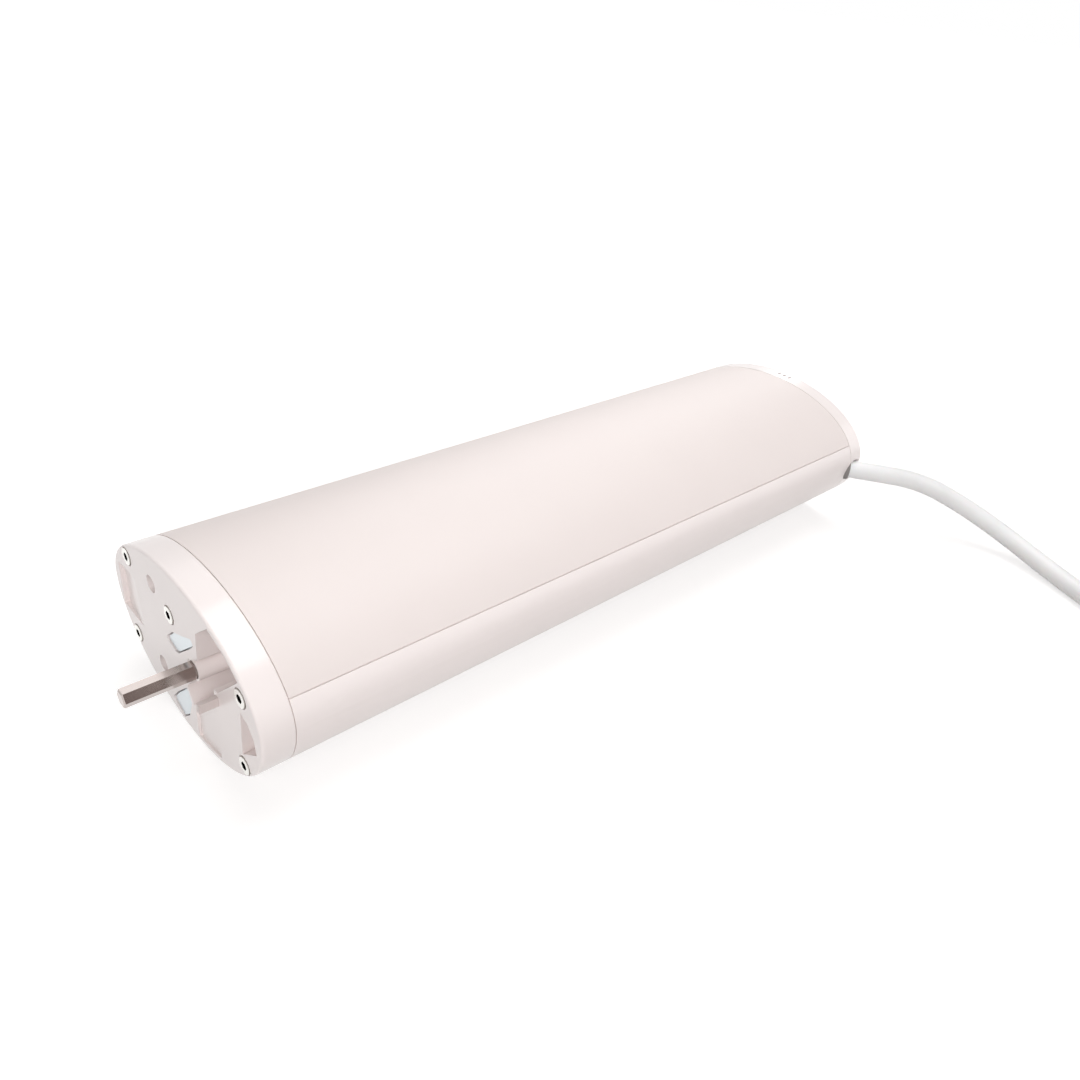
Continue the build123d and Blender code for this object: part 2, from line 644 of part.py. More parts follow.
def make_planet_pins(x0):
    """The pins of one stage, from the carrier's outer face past its planets."""
    end = x0 + CARRIER_T + GEAR_W + 1.5 * END_GAP
    return [rod(x0, end, PLANET_PIN_R, (y, z)) for y, z, _ in around(CENTRE_R, PLANETS)]


def make_carrier(x0, hub):
    """Carrier disc with the pins' holes and a hub bore."""
    tip_r = MODULE * RING_TEETH / 2 - ADDENDUM
    disc = rod(x0, x0 + CARRIER_T, tip_r - 2 * END_GAP) - hub
    for y, z, _ in around(CENTRE_R, PLANETS):
        disc -= rod(x0, x0 + CARRIER_T, PLANET_PIN_R, (y, z))
    return disc


def hexagon(x0, x1, flats):
    """Hexagon bar along the shaft's axis, flats up and down."""
    face = RegularPolygon(flats / 2, 6, major_radius=False, rotation=30)
    flat_up = Plane.YZ.offset(x0) * Pos(*AXIS) * Rot(0, 0, 30) * face
    return extrude(flat_up, x1 - x0)


def make_output_shaft():
    """Hexagon nose, journal in the sleeve, thick journal in the gearbox and a hexagon in the carrier."""
    nose = hexagon(-SHAFT_REACH, SLEEVE_START + FUSE, HEX_FLATS)
    nose = chamfer(nose.edges().group_by(Axis.X)[0], SHAFT_TIP_EDGE)
    shaft = nose + rod(SLEEVE_START + FUSE, GEARBOX_X + END_GAP / 2, SLEEVE_BORE_R - RUN_CLEAR)
    shaft += rod(GEARBOX_X + END_GAP / 2, OUT_CARRIER_X, JOURNAL_R)
    return shaft + hexagon(OUT_CARRIER_X, OUT_CARRIER_X + CARRIER_T, CARRIER_HEX)


def make_shaft_bush():
    """Thin sleeve that guides the shaft through the cap."""
    return tube(SLEEVE_START, GEARBOX_X, SLEEVE_R, SLEEVE_BORE_R)


def make_output_bush():
    """Flanged bush of the thick journal, in the gearbox's front plate."""
    bush = rod(GEARBOX_X, GEARBOX_X + OUTPUT_BUSH_L, OUTPUT_BUSH_R)
    bush += rod(RING_X, RING_X + FLANGE_STEP, OUTPUT_BUSH_R + FLANGE_STEP)
    return bush - rod(GEARBOX_X, GEARBOX_X + OUTPUT_BUSH_L, JOURNAL_R + RUN_CLEAR)


def gear_screw_points():
    """Places of the long gearbox screws, in the ring's wall."""
    root_r = MODULE * RING_TEETH / 2 + DEDENDUM
    return [(y, z) for y, z, _ in around((root_r + GEARBOX_R) / 2, GEAR_SCREWS)]


def make_gearbox_front_plate():
    """Front plate of the gearbox with the bush's bore and the screws' bores."""
    plate = rod(GEARBOX_X, RING_X, GEARBOX_R) - rod(GEARBOX_X, RING_X, OUTPUT_BUSH_R)
    plate -= rod(GEARBOX_X, RING_X, SCREW_R + SCREW_CLEAR, GEAR_SCREW)
    for point in gear_screw_points():
        plate -= rod(RING_X - GEAR_SCREW_BITE, RING_X, GEAR_SCREW_R + SCREW_CLEAR, point)
    return plate


def make_ring_gear():
    """Gearbox housing whose bore is the ring gear of both stages."""
    pitch_r = MODULE * RING_TEETH / 2
    corners = tooth_outline(RING_TEETH, pitch_r + DEDENDUM, pitch_r - ADDENDUM, -BACKLASH)
    bore = [(AXIS_Y + y, AXIS_Z + z) for y, z in corners]
    ring = rod(RING_X, MOUNT_X, GEARBOX_R) - prism(RING_X, MOUNT_X, bore)
    for point in gear_screw_points():
        ring -= rod(RING_X, MOUNT_X, GEAR_SCREW_R + SCREW_CLEAR, point)
    return ring


def motor_screw_points():
    """Places of the two screws that hold the motor."""
    return [(y, z) for y, z, _ in around(MOTOR_R * MOTOR_SCREW_SHARE, 2, 90)]


def make_motor_mount_plate():
    """Plate between gearbox and motor."""
    plate = rod(MOUNT_X, MOTOR_X, GEARBOX_R) - rod(MOUNT_X, MOTOR_X, MOTOR_BUSH_R + SCREW_CLEAR)
    for point in gear_screw_points():
        plate -= rod(MOUNT_X, MOTOR_X, GEAR_SCREW_R + SCREW_CLEAR, point)
    for point in motor_screw_points():
        plate -= rod(MOUNT_X, MOUNT_X + GEAR_SCREW_HEAD_T, GEAR_SCREW_HEAD_R + SCREW_CLEAR, point)
        plate -= rod(MOUNT_X, MOTOR_X, GEAR_SCREW_R + SCREW_CLEAR, point)
    return plate


def make_gearbox_screws():
    """Four long screws from the mount plate through the ring into the front plate."""
    screws = []
    for point in gear_screw_points():
        shank = rod(RING_X - GEAR_SCREW_BITE, MOTOR_X, GEAR_SCREW_R, point)
        screws.append(shank + rod(MOTOR_X, MOTOR_X + GEAR_SCREW_HEAD_T, GEAR_SCREW_HEAD_R, point))
    return screws


def make_motor_screws():
    """Two sunk screws through the mount plate into the motor's front wall."""
    screws = []
    for point in motor_screw_points():
        head = rod(MOUNT_X, MOUNT_X + GEAR_SCREW_HEAD_T, GEAR_SCREW_HEAD_R, point)
        screws.append(head + rod(MOUNT_X + GEAR_SCREW_HEAD_T, MOTOR_X + 2 * CAN_T, GEAR_SCREW_R, point))
    return screws


def make_motor_can():
    """Drawn steel can, open at the rear."""
    can = rod(MOTOR_X, BELL_X, MOTOR_R) - rod(MOTOR_X + CAN_T, BELL_X, MOTOR_R - CAN_T)
    can -= rod(MOTOR_X, MOTOR_X + CAN_T, MOTOR_BUSH_R)
    for point in motor_screw_points():
        can -= rod(MOTOR_X, MOTOR_X + CAN_T, GEAR_SCREW_R + SCREW_CLEAR, point)
    return can


def make_motor_magnets():
    """Two arc magnets glued inside the can."""
    ring = tube(ROTOR_X - 2, ROTOR_X + ROTOR_L + 2, MOTOR_R - CAN_T, ROTOR_R + AIR_GAP)
    gap = block((MOTOR_X, BELL_X), (AXIS_Y - BRUSH_W, AXIS_Y + BRUSH_W), (AXIS_Z - MOTOR_R, AXIS_Z + MOTOR_R))
    return list((ring - gap).solids())


def slot_bars(width, x, inner, outer):
    """Radial bars round the rotor."""
    bar = block(x, (inner, outer), (-width / 2, width / 2))
    turns = [360.0 * index / ROTOR_SLOTS for index in range(ROTOR_SLOTS)]
    return [Pos(0, *AXIS) * Rot(turn, 0, 0) * bar for turn in turns]


def make_rotor_core():
    """Slotted iron core."""
    core = tube(ROTOR_X, ROTOR_X + ROTOR_L, ROTOR_R, MOTOR_SHAFT_R)
    for bar in slot_bars(SLOT_W, (ROTOR_X, ROTOR_X + ROTOR_L), COMMUTATOR_R, ROTOR_R + 1):
        core -= bar
    return core


def make_rotor_windings():
    """Winding heads at both ends of the core, joined through its slots."""
    inner = COMMUTATOR_R + WINDING_LIFT
    outer = ROTOR_R - WINDING_INSET
    coil = tube(ROTOR_X - WINDING_T, ROTOR_X, outer, inner)
    coil += tube(ROTOR_X + ROTOR_L, ROTOR_X + ROTOR_L + WINDING_T, outer, inner)
    for bar in slot_bars(SLOT_W - SEAT_CLEAR, (ROTOR_X - FUSE, ROTOR_X + ROTOR_L + FUSE), inner, outer - FUSE):
        coil += bar
    return coil


def make_commutator():
    """Copper commutator on the motor's shaft."""
    return tube(COMMUTATOR_X, COMMUTATOR_X + COMMUTATOR_L, COMMUTATOR_R, MOTOR_SHAFT_R)


def make_motor_shaft():
    """Motor shaft from the input sun to the encoder magnet."""
    return rod(IN_PLANET_X + END_GAP / 2, ENCODER_X + ENCODER_T, MOTOR_SHAFT_R)


def brush_box(side, grow, inner, outer):
    """Box of one brush above or below the shaft."""
    z = sorted((AXIS_Z + side * inner, AXIS_Z + side * outer))
    half = BRUSH_W / 2 + grow
    return block((BRUSH_X - grow, BRUSH_X + BRUSH_L + grow), (AXIS_Y - half, AXIS_Y + half), z)


def make_brushes():
    """Two carbon brushes on the commutator."""
    seat = COMMUTATOR_R + SCREW_CLEAR
    return [brush_box(side, 0, seat, ROTOR_R) for side in (1, -1)]


def make_motor_end_bell():
    """Rear cover of the motor with brush holders and pillars for the sensor board."""
    bell = rod(BELL_X, BELL_X + BELL_T, MOTOR_R)
    for side in (1, -1):
        z = sorted((AXIS_Z + side * (COMMUTATOR_R + HOLDER_T), AXIS_Z + side * (ROTOR_R + HOLDER_T)))
        half = BRUSH_W / 2 + HOLDER_T
        bell += block((BRUSH_X - HOLDER_T, BELL_X + FUSE), (AXIS_Y - half, AXIS_Y + half), z)
        bell -= brush_box(side, SCREW_CLEAR / 2, COMMUTATOR_R, ROTOR_R)
    for y, z, _ in around(HALL_R - PILLAR_INSET, 2):
        bell += rod(BELL_X, HALL_X, PILLAR_R, (y, z))
    return bell - rod(BELL_X, BELL_X + BELL_T, MOTOR_BUSH_R)


def make_front_bush():
    """Front bearing of the motor."""
    return tube(MOTOR_X - MOTOR_BUSH_PROUD, MOTOR_X + MOTOR_BUSH_IN, MOTOR_BUSH_R, MOTOR_SHAFT_R + RUN_CLEAR)


def make_rear_bush():
    """Rear bearing of the motor."""
    return tube(BELL_X, BELL_X + BELL_T + MOTOR_BUSH_PROUD, MOTOR_BUSH_R, MOTOR_SHAFT_R + RUN_CLEAR)


def make_hall_board():
    """Round sensor board behind the encoder magnet."""
    return rod(HALL_X, HALL_X + BOARD_T, HALL_R)


def board_points():
    """Posts of the two boards."""
    y = CONTROL_BOARD_HALF - SPACER_R - BOARD_EDGE
    stations = (BOARD_X[0] + BOARD_POST_INSET, BOARD_X[1] - BOARD_POST_INSET)
    return [(x, side * y) for x in stations for side in (1, -1)]


def bored(shape, radius, z):
    """Board with holes for its screws."""
    for x, y in board_points():
        shape -= Pos(x, y, z) * Cylinder(radius, 4 * BOARD_T)
    return shape


def make_power_board():
    """Mains board on the lower shell's posts."""
    z = (POWER_BOARD_Z, POWER_BOARD_Z + BOARD_T)
    board = block(BOARD_X, (-POWER_BOARD_HALF, POWER_BOARD_HALF), z)
    return bored(board, BOARD_SCREW_R + SCREW_CLEAR, POWER_BOARD_Z)


def make_control_board():
    """Logic board above the mains board, reaching back to the button."""
    z = (CONTROL_BOARD_Z, CONTROL_TOP_Z)
    board = block((BOARD_X[0], CONTROL_BOARD_END), (-CONTROL_BOARD_HALF, CONTROL_BOARD_HALF), z)
    return bored(board, BOARD_SCREW_R + SCREW_CLEAR, CONTROL_BOARD_Z)


def make_board_spacers():
    """Four spacers between the boards."""
    spacer = Cylinder(SPACER_R, SPACER_L, align=(Align.CENTER, Align.CENTER, Align.MIN))
    spacer -= Cylinder(BOARD_SCREW_R + SCREW_CLEAR, SPACER_L, align=(Align.CENTER, Align.CENTER, Align.MIN))
    return [Pos(x, y, POWER_BOARD_Z + BOARD_T) * spacer for x, y in board_points()]


def make_board_screws():
    """Four long screws through both boards into the lower shell."""
    shank = Cylinder(BOARD_SCREW_R, BOARD_SCREW_L, align=(Align.CENTER, Align.CENTER, Align.MAX))
    head = Cylinder(GEAR_SCREW_HEAD_R, GEAR_SCREW_HEAD_T, align=(Align.CENTER, Align.CENTER, Align.MIN))
    return [Pos(x, y, CONTROL_TOP_Z) * (shank + head) for x, y in board_points()]


def on_board(x, y, size, z):
    """Box standing on a board."""
    return Pos(x, y, z) * Box(*size, align=(Align.CENTER, Align.CENTER, Align.MIN))


def make_transformer():
    """Small mains transformer: core with a winding round its middle."""
    x = BOARD_X[0] + TRANSFORMER_START
    z = POWER_BOARD_Z + BOARD_T
    length, width, height = TRANSFORMER
    winding = on_board(x, 0, (length * WINDING_SHARES[0], width, height * WINDING_SHARES[1]), z)
    return on_board(x, 0, (length, width * CORE_SHARE, height), z) + winding


def make_bulk_capacitor():
    """Lying capacitor of the mains board."""
    x0 = BOARD_X[0] + CAPACITOR_START
    return rod(x0, x0 + CAPACITOR_L, CAPACITOR_R, (CAPACITOR_Y, POWER_BOARD_Z + BOARD_T + CAPACITOR_R))


def make_radio_module():
    """Shielded radio module on the logic board."""
    return on_board(BOARD_X[0] + RADIO_START, 0, RADIO, CONTROL_TOP_Z)


def make_sounder():
    """Round sounder near the slits."""
    base = Pos(CONTROL_BOARD_END - SOUNDER_R - SOUNDER_GAP, SLIT_Y - SOUNDER_R, CONTROL_TOP_Z)
    return base * Cylinder(SOUNDER_R, SOUNDER_H, align=(Align.CENTER, Align.CENTER, Align.MIN))


def along_exit(start, end, radius, end_radius=None):
    """Cylinder or cone along the lead's way out, measured from the hole's middle."""
    base = Plane(origin=EXIT + EXIT_WAY * start, z_dir=EXIT_WAY)
    if end_radius:
        return base * Cone(radius, end_radius, end - start, align=(Align.CENTER, Align.CENTER, Align.MIN))
    return base * Cylinder(radius, end - start, align=(Align.CENTER, Align.CENTER, Align.MIN))


def clamp_frame():
    """Frame at the lead's clamp: X along the lead, Z up."""
    return Plane(origin=EXIT - EXIT_WAY * (INNER_LEAD - CLAMP_W / 2), x_dir=EXIT_WAY, z_dir=(0, 0, 1))


def clamp_screw_offsets():
    """Places of the clamp's two screws, across the lead."""
    return [side * (CORD_R + CLAMP_SIDE) / 2 for side in (1, -1)]


def make_tail_cap():
    """Oval cap at the far end: slits, button and light-pipe holes, the lead's hole and its clamp shelf."""
    cap = oval(TAIL_X, BODY_L)
    cap = fillet(cap.edges().group_by(Axis.X)[-1], CAP_EDGE_R)
    cap -= oval(TAIL_X, BODY_L - FACE_T, WALL)
    cap += spigot(1)
    inside = oval(TAIL_X, BODY_L, REVEAL_D)
    for point in CAP_SCREWS:
        cap += rod(TAIL_X, BODY_L - FACE_T / 2, SCREW_HEAD_R + SCREW_SINK_CLEAR + FUSE, point) & inside
    shelf = clamp_frame() * Pos(0, 0, -CORD_R) * Box(
        CLAMP_W, 2 * CLAMP_SIDE, SHELF_T, align=(Align.CENTER, Align.CENTER, Align.MAX)
    )
    arm = clamp_frame() * Pos(0, 0, -CORD_R) * Box(
        CLAMP_W, SHELF_ARM_L, SHELF_T, align=(Align.CENTER, Align.MIN, Align.MAX)
    )
    cap -= along_exit(-EXIT_BORE, EXIT_BORE, EXIT_HOLE_R)
    cap += (shelf + arm) & oval(TAIL_X - POST_L, BODY_L - FACE_T / 2, WALL + 2 * SEAT_CLEAR + LIP_T)
    for offset_y in clamp_screw_offsets():
        cap -= clamp_frame() * Pos(0, offset_y, -CORD_R) * Cylinder(BOARD_SCREW_R + SCREW_CLEAR, 2 * SHELF_T)
    for index in range(SLITS):
        y = SLIT_Y + (index - (SLITS - 1) / 2) * SLIT_PITCH
        slit_x = (SLIT_X - SLIT_L / 2, SLIT_X + SLIT_L / 2)
        cap -= block(slit_x, (y - SLIT_W / 2, y + SLIT_W / 2), (TOP_D - 2 * WALL, TOP_D + 1))
    cap -= rod(TAIL_X, BODY_L + 1, BUTTON_R + BUTTON_CLEAR, (BUTTON_Y, BUTTON_Z))
    cap -= rod(TAIL_X, BODY_L + 1, LIGHT_PIPE_R, (LIGHT_PIPE_Y, BUTTON_Z))
    for point in CAP_SCREWS:
        cap -= rod(BODY_L - SCREW_SINK, BODY_L + 1, SCREW_HEAD_R + SCREW_SINK_CLEAR, point)
        cap -= rod(TAIL_X - SPIGOT_L - 1, BODY_L + 1, SCREW_R + SCREW_CLEAR, point)
    return cut_foot(reveal(cap, TAIL_X))


def make_setting_button():
    """Round button with the flange behind the tail face and a stem to its switch."""
    centre = (BUTTON_Y, BUTTON_Z)
    flange_end = BODY_L - FACE_T - BUTTON_CLEAR
    button = rod(flange_end - FLANGE_T, BODY_L + BUTTON_PROUD, BUTTON_R, centre)
    button += rod(flange_end - FLANGE_T, flange_end, BUTTON_R + FLANGE_STEP, centre)
    return button + rod(flange_end - FLANGE_T - STEM_L, flange_end - FLANGE_T, STEM_R, centre)


def make_button_switch():
    """Small switch on the logic board, one travel short of the button's stem."""
    tip = BODY_L - FACE_T - BUTTON_CLEAR - FLANGE_T - STEM_L - BUTTON_TRAVEL - SCREW_CLEAR
    half = SWITCH_SIDE / 2
    y = (BUTTON_Y - half, BUTTON_Y + half)
    switch = block((tip - PLUNGER_L - half, tip - PLUNGER_L), y, (BUTTON_Z - half, BUTTON_Z + half))
    return switch + rod(tip - PLUNGER_L, tip, STEM_R, (BUTTON_Y, BUTTON_Z))


def make_light_pipe():
    """Clear rod from the logic board to the tail face."""
    return rod(BODY_L - LIGHT_PIPE_L, BODY_L + SEAT_CLEAR, LIGHT_PIPE_R, (LIGHT_PIPE_Y, BUTTON_Z))


def make_cable_grommet():
    """Soft bush in the lead's hole, set back from its mouth."""
    return along_exit(*GROMMET_X, EXIT_HOLE_R - SCREW_CLEAR) - along_exit(*GROMMET_X, CORD_R + CORD_CLEAR)


def make_cable_clamp():
    """Saddle that presses the lead on its shelf."""
    height = 2 * CORD_R + CLAMP_T
    up = (Align.CENTER, Align.CENTER, Align.MIN)
    saddle = Pos(0, 0, -CORD_R) * Box(CLAMP_W, 2 * CLAMP_SIDE, height, align=up)
    channel = 2 * (CORD_R + CORD_CLEAR)
    saddle -= Pos(0, 0, -CORD_R) * Box(CLAMP_W, channel, CORD_R, align=up)
    saddle -= Rot(0, 90, 0) * Cylinder(channel / 2, CLAMP_W)
    for offset_y in clamp_screw_offsets():
        saddle -= Pos(0, offset_y, 0) * Cylinder(BOARD_SCREW_R + SCREW_CLEAR, 4 * CORD_R)
    return clamp_frame() * saddle


def make_clamp_screws():
    """Two screws down through the saddle into the shelf."""
    top = CORD_R + CLAMP_T
    length = 2 * CORD_R + CLAMP_T + SHELF_T
    screw = Cylinder(BOARD_SCREW_R, length, align=(Align.CENTER, Align.CENTER, Align.MAX))
    screw += Cylinder(GEAR_SCREW_HEAD_R, GEAR_SCREW_HEAD_T, align=(Align.CENTER, Align.CENTER, Align.MIN))
    return [clamp_frame() * Pos(0, offset_y, top) * screw for offset_y in clamp_screw_offsets()]


def route_points():
    """The lead's points from its clamped end inside to the coil."""
    drop = FLOOR_Z + TIE_T + TIE_CLEAR + CORD_R - EXIT.Z
    points = [EXIT - EXIT_WAY * INNER_LEAD]
    points += [EXIT + Vector(x, y, share * drop) for x, y, share in ROUTE_REST]
    way = points[-1] - points[-2]
    way = Vector(way.X, way.Y, 0).normalized()
    return points + [points[-1] + Vector(way.Y, -way.X, 0) * ROUTE_LAST_ASIDE + way * ROUTE_LAST_RUN]


def route_radii(points):
    """Radius at each corner: as large as its two runs allow."""
    radii = []
    for before, corner, after in zip(points, points[1:], points[2:]):
        first = corner - before
        second = after - corner
        half_turn = radians(first.get_angle(second)) / 2
        radii.append(BEND_SHARE * min(first.length, second.length) / tan(half_turn))
    return radii


def cord_tube(path):
    """Round cord swept along a path."""
    return sweep(Plane(path @ 0, z_dir=path % 0) * Circle(CORD_R), path)


def make_power_cable():
    """The lead's free stretch: straight runs joined by tangent arcs."""
    points = route_points()
    radii = route_radii(points)
    path = FilletPolyline(*points, radius=radii)
    cord = cord_tube(path)
    print("route radii", [round(radius, 1) for radius in radii])
    print("route runs", [round((b - a).length, 1) for a, b in zip(points, points[1:])])
    ratio = cord.volume / (pi * CORD_R**2 * path.length)
    print("route length", round(path.length, 1), "volume ratio", round(ratio, 4))
    return cord


def coil_parts():
    """The coil's half turns as (start, centre, end, way), from the route's end to the plug."""
    points = route_points()
    way = (points[-1] - points[-2]).normalized()
    left = Vector(-way.Y, way.X, 0)
    rise = Vector(0, 0, COIL_LAYER)
    radius = COIL_INNER_R + COIL_HALF_TURNS_IN * COIL_STEP / 2
    start = points[-1] + way * 2 * CORD_R
    parts = []
    side = 1
    for index in range(COIL_HALF_TURNS_IN + 1 + COIL_HALF_TURNS_OUT):
        across = left * (2 * radius * side)
        climbing = index == COIL_HALF_TURNS_IN
        end = start + across + (rise if climbing else Vector(0, 0, 0))
        parts.append((start, (start + end) / 2, end, way * side))
        start = end
        side = -side
        radius += COIL_STEP / 2 if index >= COIL_HALF_TURNS_IN else -COIL_STEP / 2
    return parts


def coil_path():
    """Unbroken path of the coil: a straight start, half turns and a straight end."""
    parts = coil_parts()
    first = parts[0]
    edges = [Line(first[0] - first[3] * 2 * CORD_R, first[0])]
    for start, centre, end, way in parts:
        radius = (start - centre).length
        edges.append(ThreePointArc(start, centre + way * radius, end))
    last = parts[-1]
    edges.append(Line(last[2], last[2] - last[3] * COIL_END))
    return Wire([edge for curve in edges for edge in curve.edges()])


def coil_gap(path):
    """Least gap between windings, measured on points a fixed step apart."""
    count = int(path.length / GAP_STEP)
    points = [path @ (index / count) for index in range(count + 1)]
    skip = int(8 * CORD_R / GAP_STEP)
    least = min(
        (points[i] - points[j]).length for i in range(count + 1) for j in range(i + skip, count + 1)
    )
    return least - 2 * CORD_R


def make_cable_coil():
    """Spare lead as a neat coil of two layers."""
    path = coil_path()
    coil = cord_tube(path)
    ratio = coil.volume / (pi * CORD_R**2 * path.length)
    print("coil length", round(path.length, 1), "volume ratio", round(ratio, 4))
    print("coil least gap", round(coil_gap(path), 2))
    return coil


def make_cable_tie():
    """Strap round the six windings on the side away from the motor."""
    parts = coil_parts()
    start, centre, end, way = parts[0]
    outer_r = (start - centre).length
    across = (end - start).normalized()
    layers = 2
    windings = (COIL_HALF_TURNS_IN + 1) / 2
    width = (windings - 1) * COIL_STEP + 2 * CORD_R + 2 * TIE_SLACK
    height = (layers - 1) * COIL_LAYER + 2 * CORD_R + 2 * TIE_CLEAR
    middle = centre + way * (outer_r - (windings - 1) * COIL_STEP / 2 - TIE_CLEAR)
    middle += across * COIL_STEP / 2 + Vector(0, 0, COIL_LAYER / 2)
    frame = Plane(origin=middle, x_dir=way, z_dir=(0, 0, 1))
    outside = Box(width + 2 * TIE_T, TIE_W, height + 2 * TIE_T)
    outside = fillet(outside.edges().filter_by(Axis.Y), CORD_R)
    inside = Box(width, TIE_W, height)
    inside = fillet(inside.edges().filter_by(Axis.Y), CORD_R - TIE_T)
    return frame * (outside - inside)


def plug_frame():
    """Frame at the lead's end: X out of the plug, Z up."""
    last = coil_parts()[-1]
    way = last[3] * -1
    return Plane(origin=last[2] + way * COIL_END, x_dir=way, z_dir=(0, 0, 1))


def plug_height():
    """Height of the plug's middle above the surface."""
    return plug_frame().origin.Z - FLOOR_Z


def make_plug_body():
    """Moulded plug lying on the surface, with a tapered strain relief."""
    height = 2 * plug_height()
    relief = Cone(RELIEF_R[0], RELIEF_R[1], RELIEF_L, align=(Align.CENTER, Align.CENTER, Align.MIN))
    body = Pos(RELIEF_L, 0, 0) * Box(PLUG_L, PLUG_W, height, align=(Align.MIN, Align.CENTER, Align.CENTER))
    body = fillet(body.edges().filter_by(Axis.X), PLUG_EDGE)
    body = fillet(body.edges().group_by(Axis.X)[0], PLUG_EDGE / 2)
    return plug_frame() * (Rot(0, 90, 0) * relief + body)


def make_plug_pins():
    """Two flat blades and a round earth pin."""
    face = RELIEF_L + PLUG_L
    length, thick, wide = BLADE
    blade = Box(length, thick, wide, align=(Align.MIN, Align.CENTER, Align.CENTER))
    blades = [Pos(face, side * BLADE_PITCH / 2, BLADE_RISE) * blade for side in (1, -1)]
    earth = Pos(face, 0, BLADE_RISE - EARTH_PIN_DROP) * Rot(0, 90, 0) * Cylinder(
        EARTH_PIN_R, EARTH_PIN_L, align=(Align.CENTER, Align.CENTER, Align.MIN)
    )
    return [plug_frame() * pin for pin in blades + [earth]]


def build():
    """Every piece by node name; a list is a group of separate solids."""
    out_planets = make_planets(OUT_PLANET_X)
    in_planets = make_planets(IN_PLANET_X)
    hub = rod(MID_CARRIER_X, MID_CARRIER_X + CARRIER_T, MOTOR_SHAFT_R + HUB_T)
    carrier_hex = hexagon(OUT_CARRIER_X, OUT_CARRIER_X + CARRIER_T, CARRIER_HEX)
    output_sun = gear(OUT_PLANET_X + END_GAP, MID_CARRIER_X, SUN_TEETH, AXIS, 0) + hub
    input_sun = gear(IN_PLANET_X + END_GAP / 2, MOUNT_X - END_GAP, SUN_TEETH, AXIS, 0)
    screw_x = SCREW_SINK
    tail_seat = BODY_L - SCREW_SINK
    drive_screws = [cap_screw(screw_x, point, 1, DRIVE_CAP_L - SCREW_SINK + SCREW_GRIP) for point in CAP_SCREWS]
    drive_screws.append(cap_screw(screw_x, GEAR_SCREW, 1, RING_X - SCREW_SINK - FUSE))
    return {
        "upper_cover": make_upper_cover(),
        "lower_shell": make_lower_shell(),
        "drive_end_cap": make_drive_end_cap(),
        "tail_cap": make_tail_cap(),
        "drive_cap_screws": drive_screws,
        "tail_cap_screws": [cap_screw(tail_seat, point, -1, TAIL_CAP_L - SCREW_SINK + SCREW_GRIP)
                            for point in CAP_SCREWS],
        "catch_plate": make_catch_plate(),
        "detent_peg": make_detent_peg(),
        "detent_spring": make_detent_spring(),
        "output_shaft": make_output_shaft(),
        "shaft_bush": make_shaft_bush(),
        "output_bush": make_output_bush(),
        "gearbox_front_plate": make_gearbox_front_plate(),
        "ring_gear": make_ring_gear(),
        "output_carrier": make_carrier(OUT_CARRIER_X, carrier_hex),
        "output_planet_pins": make_planet_pins(OUT_CARRIER_X),
        "output_planet_1": out_planets[0],
        "output_planet_2": out_planets[1],
        "output_planet_3": out_planets[2],
        "output_sun": output_sun,
        "intermediate_carrier": make_carrier(MID_CARRIER_X, hub),
        "intermediate_planet_pins": make_planet_pins(MID_CARRIER_X),
        "input_planet_1": in_planets[0],
        "input_planet_2": in_planets[1],
        "input_planet_3": in_planets[2],
        "input_sun": input_sun - rod(IN_PLANET_X, MOUNT_X, MOTOR_SHAFT_R),
        "motor_mount_plate": make_motor_mount_plate(),
        "gear_unit_screws": make_gearbox_screws() + make_motor_screws(),
        "motor_can": make_motor_can(),
        "motor_magnets": make_motor_magnets(),
        "rotor_core": make_rotor_core(),
        "rotor_windings": make_rotor_windings(),
        "commutator": make_commutator(),
        "motor_shaft": make_motor_shaft(),
        "brushes": make_brushes(),
        "motor_end_bell": make_motor_end_bell(),
        "motor_bushes": [make_front_bush(), make_rear_bush()],
        "encoder_magnet": tube(ENCODER_X, ENCODER_X + ENCODER_T, ENCODER_R, MOTOR_SHAFT_R),
        "hall_board": make_hall_board(),
        "front_damper": tube(FRONT_DAMPER_X, FRONT_DAMPER_X + DAMPER_W, GEARBOX_R + DAMPER_T, GEARBOX_R),
        "rear_damper": tube(REAR_DAMPER_X, REAR_DAMPER_X + DAMPER_W, MOTOR_R + DAMPER_T, MOTOR_R),
        "power_board": make_power_board(),
        "control_board": make_control_board(),
        "board_spacers": make_board_spacers(),
        "board_screws": make_board_screws(),
        "transformer": make_transformer(),
        "bulk_capacitor": make_bulk_capacitor(),
        "radio_module": make_radio_module(),
        "sounder": make_sounder(),
        "setting_button": make_setting_button(),
        "button_switch": make_button_switch(),
        "light_pipe": make_light_pipe(),
        "cable_grommet": make_cable_grommet(),
        "cable_clamp": make_cable_clamp(),
        "clamp_screws": make_clamp_screws(),
        "power_cable": make_power_cable(),
        "cable_coil": make_cable_coil(),
        "cable_tie": make_cable_tie(),
        "plug_body": make_plug_body(),
        "plug_pins": make_plug_pins(),
    }


def solids_of(piece):
    """Solids of a piece or of a group of pieces."""
    pieces = piece if isinstance(piece, list) else [piece]
    return [solid for item in pieces for solid in item.solids()]


def main():
    """Write one STEP file for each node."""
    os.makedirs("parts", exist_ok=True)
    for name, piece in build().items():
        solids = [place(solid) for solid in solids_of(piece)]
        shape = solids[0] if len(solids) == 1 else Compound(children=solids)
        shape.label = name
        export_step(shape, f"parts/{name}.step")


main()
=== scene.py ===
"""Curtain motor on its back on a pale floor: camera, light, finishes, lead and plug."""
import json
import logging
import math
from dataclasses import dataclass, field
from enum import Enum
from typing import Callable, NamedTuple, Optional, Sequence

import bmesh
import bpy
from mathutils import Matrix, Vector

